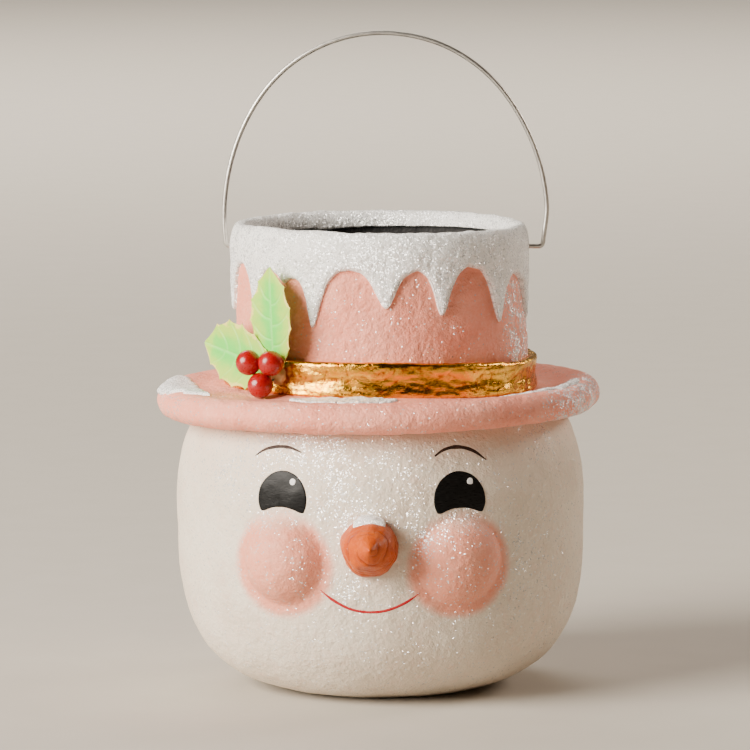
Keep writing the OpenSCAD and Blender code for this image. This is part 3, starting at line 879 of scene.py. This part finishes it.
def build_brim():
    neck_r = head_radius(BRIM_LOW_Z) - 1.5
    outline = np.concatenate([
        [[neck_r, BRIM_LOW_Z + 1.6], [neck_r + 4, BRIM_LOW_Z + 0.5]],
        arc(ROLL_R, ROLL_Z, ROLL_W, ROLL_H, -90, 90, 60),
        [[DISH_R + 8, BRIM_TOP_Z - DISH * 0.75], [DISH_R, BRIM_TOP_Z - DISH], [BAND_R, BRIM_TOP_Z - 0.3],
         [CROWN_R + 0.4, BRIM_TOP_Z - 0.4], [CROWN_R + 0.4, DECK_Z + 0.4],
         [head_radius(DECK_Z), DECK_Z + 0.3]],
    ])
    section = resampled(outline, 92, closed=True)
    loops = spun(section, RING_AZ)
    normals = spun(section_normals(section), RING_AZ)
    outer = smooth_step(neck_r - 1, neck_r + 6, radius_of(loops))
    loops = loops + normals * (pulp_relief(loops, 35, 1.15) * outer)[..., None]
    az = azimuth_of(loops)
    # Glitter heaped on the right, where the rim light falls: partly real glitter, partly painted highlight.
    glitter_and_highlight = 0.02 + 0.7 * window(az, 48, 66, 84, 105) * smooth_step(108, 122, radius_of(loops))
    glitter_and_highlight += 0.12 * window(az, -120, -90, -70, -45) * smooth_step(104, 118, radius_of(loops))
    masks = {"inside": 0 * glitter_and_highlight, "glitter": glitter_and_highlight}
    add_mesh("brim", ringed(settled(loops)), "hat_brim", "pink_papier_mache", masks)


def crown_waver(points):
    """Lumps that the crown and its icing share, so that one follows the other."""
    return uneven(points * np.array([1, 1, 0.6]), [0.6, 62, 41], [0.25, 26, 42])


def build_crown():
    inner_r = CROWN_R - CROWN_WALL
    outline = [[CROWN_R - 3, CROWN_LOW_Z], [CROWN_R - 3, DECK_Z], [CROWN_R, DECK_Z + 0.5],
               [CROWN_R, CROWN_TOP_Z], [inner_r, CROWN_TOP_Z], [inner_r, CROWN_LOW_Z]]
    section = resampled(outline, 190, closed=True)
    loops = spun(section, RING_AZ)
    outside = (section[:, 0] > CROWN_R - 0.5)[:, None] * np.ones(FACE_COLS)
    relief = outside * pulp_relief(loops, 43, 0.9) + (1 - outside) * pulp_relief(loops, 47, 0.5)
    wave = (crown_waver(loops) + relief) * smooth_step(DECK_Z, BRIM_TOP_Z + 4, loops[..., 2])
    az = azimuth_of(loops)
    flare = smooth_step(236, 196, loops[..., 2]) * window(az, 25, 75, 120, 160)
    # Glitter heaped high on the right, where the rim light falls: partly real glitter, partly painted
    # highlight.
    glitter_and_highlight = 0.015 + 0.6 * window(az, 56, 68, 88, 105) * smooth_step(255, 235, loops[..., 2])
    loops = pushed_out(loops, wave + 2.1 * flare * outside * (loops[..., 2] > DECK_Z + 3))
    inside = (section[:, 0] < inner_r + 2.5)[:, None] * np.ones(FACE_COLS)
    masks = {"inside": inside, "glitter": glitter_and_highlight * (1 - inside)}
    add_mesh("crown", ringed(loops), "hat_crown", "pink_papier_mache", masks)


def crinkle(points, size, seed):
    """Sharp creases: 0 along a crease, up to 1 between creases."""
    return np.clip(abs(lumps(points, size, seed)) * 2.4, 0, 1)


def build_band():
    """Gold leaf smoothed over a strip with a waist and a rounded top edge."""
    cols = 880
    az = np.linspace(0, TURN, cols, endpoint=False)
    waist_h = BAND_TOP_Z - BAND_LOW_Z - 3.4
    waist = [[BAND_R - 0.9 * math.sin(math.pi * t) ** 2, BAND_LOW_Z + 0.6 + waist_h * t]
             for t in np.linspace(0, 1, 16)]
    outline = [[CROWN_R - 1.2, BAND_LOW_Z - 0.9], [BAND_R - 0.8, BAND_LOW_Z - 0.9]] + waist
    outline += arc(BAND_R - 2.3, BAND_TOP_Z - 2.4, 2.4, 2.4, 10, 90, 12).tolist()
    outline += [[BAND_R - 4.5, BAND_TOP_Z - 0.3], [CROWN_R - 1.2, BAND_TOP_Z - 0.6]]
    section = resampled(outline, 84, closed=True)
    loops = spun(section, az)
    normals = spun(section_normals(section), az)
    long = loops * np.array([0.36, 0.36, 1])
    tall = loops * np.array([1, 1, 0.8])
    crease = crinkle(long, 5.5, 51)
    ridge = crinkle(tall, 6, 52)
    folds = 0.34 * crease + 0.16 * ridge + 0.07 * crinkle(tall, 2.8, 53) + 0.5 * lumps(long, 9, 54)
    cover = smooth_step(CROWN_R + 0.5, CROWN_R + 4, radius_of(loops))
    rise = smooth_step(BAND_LOW_Z + 4, BAND_TOP_Z, loops[..., 2])
    sag = (3.6 + 0.8 * rise) * window(azimuth_of(loops), *RIGHT_SIDE)
    wave = uneven(loops * LEVEL, [0.55, 30, 55], [0.22, 9, 56])
    loops = loops + normals * ((folds - 0.3 + crown_waver(loops) * 0.4) * cover)[..., None]
    loops[..., 2] += rise * wave - sag
    # 1 along the creases, where the gold is made darker.
    crease_darkening = np.clip(1.2 - 3.2 * np.minimum(crease, ridge), 0, 1)
    add_mesh("band", ringed(loops), "hat_band", "gold_foil", {"crease": crease_darkening})


# ---------- Icing ----------

# Each drip: azimuth, depth below the rim and roundness, then azimuth and depth of the arch after it
DRIPS = [
    [-53, 55, 0.55, -45, 24], [-37, 30, 0.6, -32, 27], [-24, 54, 0.5, -8, 21], [5.5, 43, 0.85, 17, 22],
    [27.5, 48, 0.6, 40, 21], [56, 54, 0.5, 68, 28], [84, 56, 0.6, 97, 24], [110, 44, 0.8, 121, 22],
    [133, 58, 0.5, 146, 24], [158, 40, 0.8, 169, 22], [181, 51, 0.6, 193, 25], [205, 44, 0.7, 217, 21],
    [229, 57, 0.5, 241, 26], [253, 42, 0.8, 265, 22], [280, 50, 0.6, 295, 21],
]


def climb(u, tip):
    """How far the edge has climbed from a tip, at 0, to an arch, at 1."""
    v = np.sin(np.clip(u, 0, 1) * math.pi / 2)
    return v * v * (1 + tip ** 2) / (v * v + tip ** 2)


def drip_depth(degrees):
    """Depth of the icing's lower edge below the rim at angles in degrees."""
    depth = np.zeros(len(degrees))
    for i, (tip, tip_depth, round_tip, arch, arch_depth) in enumerate(DRIPS):
        next_tip, next_depth, next_round = DRIPS[(i + 1) % len(DRIPS)][:3]
        next_tip += 360 * (next_tip < tip)
        turn = (degrees - tip) % 360
        rising = turn < arch - tip
        falling = (turn >= arch - tip) & (turn < next_tip - tip)
        depth += rising * (tip_depth + (arch_depth - tip_depth) * climb(turn / (arch - tip), round_tip))
        back = (next_tip - tip - turn) / (next_tip - arch)
        depth += falling * (next_depth + (arch_depth - next_depth) * climb(back, next_round))
    return depth + uneven(around(ICING_R, np.radians(degrees), 0.0), [0.9, 9, 61], [0.45, 3.8, 62])


def bell(az, middle, spread):
    return np.exp(-(degrees_from(middle, az) / spread) ** 2)


def even_along_edge(count):
    """Azimuths spaced evenly along the icing's wavy lower edge, and the edge's depth at each."""
    fine = np.linspace(0, 360, 14400, endpoint=False)
    depth = drip_depth(fine)
    step = np.hypot(np.radians(360 / 14400) * ICING_R, np.roll(depth, -1) - depth)
    length = np.concatenate([[0], np.cumsum(step)])
    at = np.linspace(0, length[-1], count, endpoint=False)
    degrees = np.interp(at, length, np.append(fine, 360.0))
    return np.radians(degrees), np.interp(degrees, np.append(fine, 360.0), np.append(depth, depth[0]))


def edge_distance(az, z, edge_az, edge_z):
    """Distance on the unrolled crown from grid points down to the icing's edge."""
    away = np.full(z.shape, 99.0)
    for shift in range(-46, 47, 2):
        other_az, other_z = np.roll(edge_az, shift), np.roll(edge_z, shift)
        turn = (az - other_az + math.pi) % TURN - math.pi
        away = np.minimum(away, np.hypot(turn * ICING_R, z - other_z))
    return away


def build_icing():
    cols = 1080
    az, depth = even_along_edge(cols)
    edge_z = RIM_Z - depth
    inner_edge_z = RIM_Z - ICING_FOLD - 1.2 + 0.9 * lumps(around(70.0, az, 0.0), 12, 63)
    inner_edge_z += 1.7 * bell(az, 125, 45) - 1.2 * bell(az, -140, 40)
    mouth_r = CROWN_R - CROWN_WALL
    crest_r = (ICING_R + mouth_r - ICING_T) / 2
    shoulder_z = RIM_Z - 16
    half_t = ICING_R - crest_r
    wall_t = np.linspace(0, 1, 40) ** 1.35
    wall_z = edge_z[None] + (shoulder_z - edge_z[None]) * wall_t[:, None]
    inset = edge_distance(np.broadcast_to(az, wall_z.shape), wall_z, az, edge_z)
    puff = ICING_T * rounded_edge(inset, 3.4)
    puff[0] = -0.5
    wall = around(CROWN_R + puff, az[None], wall_z)
    top = spun(arc(crest_r, shoulder_z, half_t, 16, 3, 90, 20, 2.6), az)
    fold_z = RIM_Z - ICING_FOLD
    fold = spun(arc(crest_r, fold_z, half_t, ICING_FOLD, 90, 177, 14, 2.2), az)
    inner_t = np.linspace(0, 1, 7)[:, None]
    inner_z = fold_z + (inner_edge_z[None] - fold_z) * inner_t
    inner_puff = ICING_T * rounded_edge((1 - inner_t) * 3.2, 2.8)
    inner_puff[-1] = -0.5
    inner = around(mouth_r - inner_puff, az[None], inner_z)
    hidden = np.stack([around(r, az, z) for r, z in (
        (mouth_r + 1.5, inner_edge_z + 0.5), (mouth_r + 1.5, CROWN_TOP_Z - 1.5),
        (CROWN_R - 1.5, CROWN_TOP_Z - 1.5), (CROWN_R - 1.5, edge_z + 0.5),
    )])
    loops = np.concatenate([wall, top, fold, inner, hidden])
    wave = crown_waver(loops)
    bumpy = uneven(loops, [0.3, 12, 64], [0.22, 5, 65], [0.13, 2.4, 66])
    bumpy[:len(wall)] *= rounded_edge(inset, 3)
    bumpy[-len(hidden):] = 0
    dimple = -0.9 * np.exp(-((loops[..., 1] / 2.6) ** 2 + ((loops[..., 2] - PIVOT_Z) / 2.6) ** 2))
    loops = pushed_out(loops, wave + bumpy + dimple * (radius_of(loops) > CROWN_R))
    crest = smooth_step(RIM_Z - 5, RIM_Z, loops[..., 2])
    lean = smooth_step(RIM_Z - 26, RIM_Z - 3, loops[..., 2])
    side = azimuth_of(loops)
    loops[..., 2] += crest * uneven(loops * LEVEL, [0.6, 34, 67], [0.5, 11, 68], [0.25, 4, 69])
    loops[..., 2] += lean * (bell(side, -38, 34) - 1.3 * bell(side, 72, 48))
    add_mesh("icing", ringed(loops), "crown_icing", "glitter_icing")


# ---------- Snow on the brim ----------

def brim_top_path():
    """The brim's upper section from the band outwards and over the rolled edge, as [radius, height]."""
    return resampled(np.concatenate([
        [[BAND_R - 3, BRIM_TOP_Z - 0.3], [BAND_R, BRIM_TOP_Z - 0.3], [DISH_R, BRIM_TOP_Z - DISH],
         [DISH_R + 8, BRIM_TOP_Z - DISH * 0.75]],
        arc(ROLL_R, ROLL_Z, ROLL_W, ROLL_H, 90, -20, 50),
    ]), 400)


BRIM_PATH = brim_top_path()
BRIM_LENGTH = distance_along(BRIM_PATH)
BRIM_OUT = -section_normals(BRIM_PATH, closed=False)


def on_brim(az, along, lift):
    """Points on the brim at a distance outwards from the band, lifted off it."""
    r, z = (np.interp(along, BRIM_LENGTH, BRIM_PATH[:, i]) for i in (0, 1))
    nr, nz = (np.interp(along, BRIM_LENGTH, BRIM_OUT[:, i]) for i in (0, 1))
    flat = around(r, az, z)
    relief = pulp_relief(flat, 35, 1.15)
    return settled(around(r + nr * (lift + relief), az, z + nz * (lift + relief)))


def build_patch(where, az_from, az_to, middle, half, thick, seed):
    """A splashed patch of snow: middle and half are [start, centre, end] distances from the band's edge."""
    rows, half_cols = 190, 17
    t = np.linspace(0, 1, rows)
    az = np.radians(az_from + (az_to - az_from) * t)
    mid = np.interp(t, [0, 0.5, 1], middle)
    taper = (1 - abs(2 * t - 1) ** 2.6) ** 0.6
    width = np.interp(t, [0, 0.5, 1], half) * taper
    spot = around(ROLL_R, az, 0.0)
    edges = []
    for side in (-1, 1):
        ragged = 1 + uneven(spot, [0.3, 9, seed + side], [0.2, 3.6, seed + 3 + side])
        edges.append((mid + side * np.maximum(width * ragged, 0.05))[:, None])
    q = np.sin(np.linspace(-1, 1, half_cols) * math.pi / 2)
    along = edges[0] + (edges[1] - edges[0]) * (q + 1) / 2
    inset = np.minimum(along - edges[0], edges[1] - along)
    azs = np.broadcast_to(az[:, None], along.shape)
    end_gap = np.minimum(t, 1 - t)[:, None] * abs(az[-1] - az[0]) * ROLL_R
    lift = thick * rounded_edge(np.minimum(inset, end_gap + 0.3), 2.2) - 0.12
    flat = around(ROLL_R + along, azs, 0.0)
    lift += uneven(flat, [0.3, 5, seed + 7], [0.2, 2.3, seed + 8]) * rounded_edge(inset, 1.5)
    loops = np.concatenate([on_brim(azs, along, lift), on_brim(azs[:, ::-1], along[:, ::-1], -0.9)], axis=1)
    add_mesh(f"snow_{where}", capped(loops), f"brim_snow_{where}", "glitter_snow")


# ---------- Holly ----------

ACROSS = np.array([math.cos(SPRIG_AZ), math.sin(SPRIG_AZ), 0])
UP = np.array([0, 0, 1])
OUT = around(1.0, SPRIG_AZ, 0.0)


def placed(local, at=(0, 0, 0), turn=0.0):
    """Points given across, up and out at a place on the sprig, turned there, in the model's frame."""
    a = math.radians(turn)
    x = ACROSS * math.cos(a) + UP * math.sin(a)
    y = UP * math.cos(a) - ACROSS * math.sin(a)
    origin = UP * BRIM_TOP_Z + at @ np.stack([ACROSS, UP, OUT])
    return origin + local @ np.stack([x, y, OUT])


# The leaf's points on each side: [share of its length, share of its half width]
SPINES = {1: [[0.0, 0.0], [0.09, 0.52], [0.26, 0.86], [0.44, 1.02], [0.63, 1.0], [0.82, 0.7], [1.0, 0.0]],
          -1: [[0.0, 0.0], [0.13, 0.6], [0.31, 0.88], [0.5, 0.97], [0.69, 0.88], [0.86, 0.55], [1.0, 0.0]]}


def leaf_edge(t, side, width):
    """Half width of one side of a leaf: small spines joined by shallow hollow curves."""
    spines = np.array(SPINES[side])
    straight = np.interp(t, spines[:, 0], spines[:, 1]) * width / 2
    k = np.clip(np.searchsorted(spines[:, 0], t, side="right") - 1, 0, len(spines) - 2)
    lobe = (t - spines[k, 0]) / (spines[k + 1, 0] - spines[k, 0])
    hollow = np.where(k == 0, -1.2, np.where(k == len(spines) - 2, 0.5, 0.75))
    spike = sum(0.9 * np.exp(-abs(t - at) / 0.012) for at in spines[1:-1, 0])
    return np.maximum(straight - hollow * 4 * lobe * (1 - lobe) + spike, 0.02)


def vein_map(x, y, length, width):
    """How close a point of the leaf is to a vein, 0 to 1."""
    near = np.exp(-(x / 0.75) ** 2)
    for side, spines in SPINES.items():
        for share, half in spines[1:-1]:
            u = np.clip(side * x / (half * width / 2), 0, 1)
            line = (share - 0.17 * (1 - u) - 0.05 * np.sin(math.pi * u)) * length
            shown = (side * x > 0) * smooth_step(1.1, 0.75, side * x / (half * width / 2))
            near = np.maximum(near, 0.9 * shown * np.exp(-((y - line) / 0.7) ** 2))
    return near


def build_leaf(which, at, turn, cup, curl, seed):
    """A leaf cut from sheet: cup bends its sides outwards and curl its tip."""
    length, width = 62, 37.5
    spine_t = [share for side in (1, -1) for share, _ in SPINES[side][1:-1]]
    t = np.unique(np.concatenate([np.linspace(0.004, 0.996, 170), spine_t]))
    q = np.linspace(0, 1, 26)
    right = leaf_edge(t, 1, width)[:, None] * q[None, 1:]
    left = -leaf_edge(t, -1, width)[:, None] * q[None, :0:-1]
    x = np.concatenate([left, np.zeros((len(t), 1)), right], axis=1)
    y = np.broadcast_to(t[:, None] * length, x.shape)
    share = np.broadcast_to(np.concatenate([q[:0:-1], q]), x.shape)
    vein = vein_map(x, y, length, width)
    bend = cup * x ** 2 + curl * (y / length) ** 2 * length
    ripple = 0.4 * np.sin(y / length * 17 + 2 * np.sign(x)) * share ** 2.5
    flat = np.stack([x, y, 0 * x], axis=-1)
    height = bend + ripple - 0.55 * vein + uneven(flat, [0.5, 18, seed], [0.1, 3, seed + 1])
    thick = 0.75 - 0.3 * share ** 3
    front = np.stack([x, y, height + thick / 2], axis=-1)
    back = np.stack([x, y, height - thick / 2], axis=-1)[:, ::-1]
    loops = placed(np.concatenate([front, back], axis=1), at, turn)
    edge = np.concatenate([share, share[:, ::-1]], axis=1)
    edge = np.maximum(edge, smooth_step(0.7, 1.0, np.broadcast_to(t[:, None], edge.shape)) * 0.85)
    veins = np.concatenate([vein, vein[:, ::-1]], axis=1)
    masks = {"edge": edge, "vein": veins}
    add_mesh(f"leaf_{which}", capped(loops), f"holly_leaf_{which}", "green_leaf", masks)


GLUE_AT = np.array([19.5, 11, BAND_R + 0.5])
LOWER_BERRY = np.array([18.4, BERRY_R - 1.3, BAND_R + 2.8 + BERRY_R + 1.2])
BERRIES = {
    "left": LOWER_BERRY + BERRY_R * np.array([-0.86, 1.75, 0.48]),
    "right": LOWER_BERRY + BERRY_R * np.array([1, 1.8, -0.28]),
    "lower": LOWER_BERRY,
}


def ball(start, rows, cols):
    """Angles down from a pole, starting just beside it, and directions over a ball as [x, y, z]."""
    down = np.linspace(start, math.pi - start, rows)
    tilt, spin = np.meshgrid(down, np.linspace(0, TURN, cols, endpoint=False), indexing="ij")
    return tilt, np.stack([np.sin(tilt) * np.cos(spin), np.sin(tilt) * np.sin(spin), np.cos(tilt)], axis=-1)


def build_berry(which, at, seed):
    """A lacquered berry with a shallow dimple where its wire goes in."""
    away = unit(at - GLUE_AT)
    side = unit(np.cross(away, [0, 1, 0]))
    tilt, out = ball(0.03, 60, 90)
    out = out @ np.stack([side, np.cross(away, side), away])
    radius = BERRY_R + 0.12 * lumps(out * 7, 5, seed) - 0.8 * np.exp(-((math.pi - tilt) / 0.22) ** 2)
    loops = placed(at + out * radius[..., None])
    add_mesh(f"berry_{which}", capped(loops), f"holly_berry_{which}", "red_berry")


def tube(path, radius, cols):
    """Loops of points round a path, turned as little as possible from one to the next."""
    along = unit(np.gradient(path, axis=0))
    side = np.cross(along[0], [0.1, 0.97, 0.2])
    ring = on_circle(np.linspace(0, TURN, cols, endpoint=False), radius)
    loops = []
    for point, direction in zip(path, along):
        side = unit(side - direction * (side @ direction))
        loops.append(point + ring @ np.stack([side, np.cross(direction, side), direction]))
    return loops


def build_stem(which, at):
    t = np.linspace(0, 1, 14)[:, None]
    sag = np.array([0, -0.5, 0]) * np.sin(t * math.pi)
    root = GLUE_AT + 1.7 * unit((at - GLUE_AT) * LEVEL)
    path = placed(root + (at - root) * t + sag)
    add_mesh(f"stem_{which}", capped(tube(path, 0.6, 10)), f"berry_stem_{which}", "green_wire")


def build_glue():
    """A lumpy pad of glue between the band and the leaves."""
    out = ball(0.05, 30, 48)[1]
    local = out * np.array([5.6, 5.6, 3.4]) * (1 + 0.12 * lumps(out * 5, 3, 81))[..., None]
    add_mesh("glue_pad", capped(placed(local, GLUE_AT - 1.4 * UP)), "sprig_glue", "clear_glue")


# ---------- Bail ----------

def bail_half_path():
    """The bail's centreline from its top down one side to the wire's end, as [out, up from the pivot]."""
    wire_r = (BAIL_HIGH[1] - BAIL_LOW[1]) / 2
    half_w = (BAIL_HIGH[0] - BAIL_LOW[0]) / 2 - wire_r
    rise = BAIL_HIGH[2] - PIVOT_Z - wire_r
    widest, bend, hook_bend, hook_len = 17.5, 2.6, 2.2, 5.0
    half = math.radians(55)
    share = math.cos(half) / (1 - math.sin(half))
    top_r = (share * half_w - rise + widest) / (share - 1)
    side_r = (half_w - top_r * math.sin(half)) / (1 - math.sin(half))
    side_x = half_w - side_r
    bend_x = side_x + math.sqrt((side_r - bend) ** 2 - (widest - bend) ** 2)
    turn = math.degrees(math.atan2(widest - bend, bend_x - side_x))
    hook_x = CROWN_R - CROWN_WALL - 1.35 - 4.6
    return resampled(np.concatenate([
        arc(0, rise - top_r, top_r, top_r, 90, 35, 60),
        arc(side_x, widest, side_r, side_r, 35, -turn, 60)[1:],
        arc(bend_x, bend, bend, bend, -turn, -90, 12)[1:],
        arc(hook_x + hook_bend, -hook_bend, hook_bend, hook_bend, 90, 180, 12),
        [[hook_x, -hook_len]],
    ]), 330), wire_r


def build_bail():
    half, wire_r = bail_half_path()
    path = np.concatenate([half[::-1] * np.array([-1, 1]), half[1:]])
    up = path[:, 1].copy()
    path = np.stack([path[:, 0] + BAIL_X, 0 * up, up + PIVOT_Z], axis=1)
    free = smooth_step(14, 40, up)
    path[:, 1] += 0.5 * free * lumps(path, 70, 91)
    path[:, 0] += 0.35 * free * lumps(path, 55, 92)
    path[:, 0] += 1.5 * smooth_step(3, 26, up) * smooth_step(95, 40, up) * (path[:, 0] > 0)
    path[:, 2] += 1.2 * smooth_step(30, 120, up)
    path[:, 2] += 0.25 * free * (lumps(path, 40, 93) - 0.5)
    add_mesh("bail", capped(tube(path, wire_r - 0.02, 20)), "bail_wire", "galvanised_wire", body="bail")


# ---------- Making the pieces ----------

build_head()
for side, name in ((-1, "left"), (1, "right")):
    build_cheek(side, f"cheek_{name}", f"{name}_cheek")
    build_eye(side, f"eye_{name}", f"{name}_eye")
    build_glint(side, f"glint_{name}", f"{name}_eye_glint", 13 + side)
    build_brow(side, f"brow_{name}", f"{name}_brow")
build_smile()
build_nose()
build_nose_snow()
build_brim()
build_crown()
build_band()
build_icing()
build_patch("left", -101, -55, [33, 29, 26], [12, 10, 4.5], 1.9, 71)
build_patch("front", -27, 9, [14, 13, 9], [7, 9, 7], 1.4, 72)
build_patch("right", 42, 86, [16, 21, 26], [5, 10, 8], 1.8, 73)
build_patch("back", 160, 200, [20, 22, 19], [6, 9, 5], 1.6, 74)
build_leaf("upper", (18, 11, BAND_R + 1.4), 2, 0.003, 0.01, 75)
build_leaf("lower", (17, 14.5, BAND_R + 2.7), 80, 0.005, 0.02, 76)
for index, (which, at) in enumerate(BERRIES.items()):
    build_berry(which, at, 77 + index)
    build_stem(which, at)
build_glue()
build_bail()


# ---------- Stage, light and camera ----------

def build_floor():
    mesh = bpy.data.meshes.new("floor")
    far = 40.0
    mesh.from_pydata([(-far, -far, 0), (far, -far, 0), (far, far, 0), (-far, far, 0)], [], [(0, 1, 2, 3)])
    m = Material("floor_paper")
    grain = m.noise(40, detail=3.0)
    mesh.materials.append(m.finish(m.mix(grain, rgb(0.5, 0.46, 0.4), rgb(0.54, 0.5, 0.44)), 0.85))
    floor = add_object("floor", mesh)


def add_light(name, place, target, size, power, colour):
    data = bpy.data.lights.new(name, "AREA")
    data.shape = "DISK"
    data.size = size
    data.energy = power
    data.color = colour
    light = add_object(name, data)
    light.location = place
    light.rotation_euler = (Vector(target) - Vector(place)).to_track_quat("-Z", "Y").to_euler()


def add_camera():
    """The camera stands a little to the face's left and looks slightly down, through a long lens."""
    azimuth, distance, height = math.radians(3.136), 2.9, 0.5119
    facing, pitch, roll = math.radians(3.2), math.radians(6.52), math.radians(-0.26)
    data = bpy.data.cameras.new("camera")
    data.sensor_width = 36
    data.lens = 240
    data.clip_end = 100
    camera = add_object("camera", data)
    level = math.cos(pitch)
    forward = Vector((-math.sin(facing) * level, math.cos(facing) * level, -math.sin(pitch)))
    right = forward.cross(Vector((0, 0, 1))).normalized()
    up = right.cross(forward)
    turn = Matrix((right, up, -forward)).transposed() @ Matrix.Rotation(roll, 3, "Z")
    place = Vector((distance * math.sin(azimuth), -distance * math.cos(azimuth), height))
    camera.matrix_world = Matrix.Translation(place) @ turn.to_4x4()
    bpy.context.scene.camera = camera


def build_world():
    """Bright overhead and behind, dark in front, so that gloss and foil have something to mirror."""
    world = bpy.data.worlds.new("studio")
    world.use_nodes = True
    n = Nodes(world.node_tree)
    toward = n.node("VectorMath", {0: n.node("TexCoord", output="Generated"), 1: (-0.1, 0.85, 0.5)}, "Value",
                    operation="DOT_PRODUCT")
    background = world.node_tree.nodes["Background"]
    n.feed(background, 0, n.mix(n.span(toward, -0.1, 0.9), rgb(0.1, 0.07, 0.045), rgb(0.9, 0.82, 0.72)))
    n.feed(background, 1, 0.2)
    bpy.context.scene.world = world


build_floor()
MIDDLE = (0, 0, 0.16)
add_light("key", (-2.5, -1.7, 1.45), MIDDLE, 2.3, 360, (1.0, 0.93, 0.83))
add_light("fill", (2.2, -1.6, 0.7), MIDDLE, 1.6, 2.4, (1.0, 0.7, 0.45))
add_light("rim", (1.9, 1.1, 1.2), MIDDLE, 0.8, 30, (1.0, 0.86, 0.74))
add_light("backdrop", (-1.5, 5.5, 5), (-0.5, 8.5, 0), 6, 900, (1.0, 0.93, 0.84))
build_world()
add_camera()
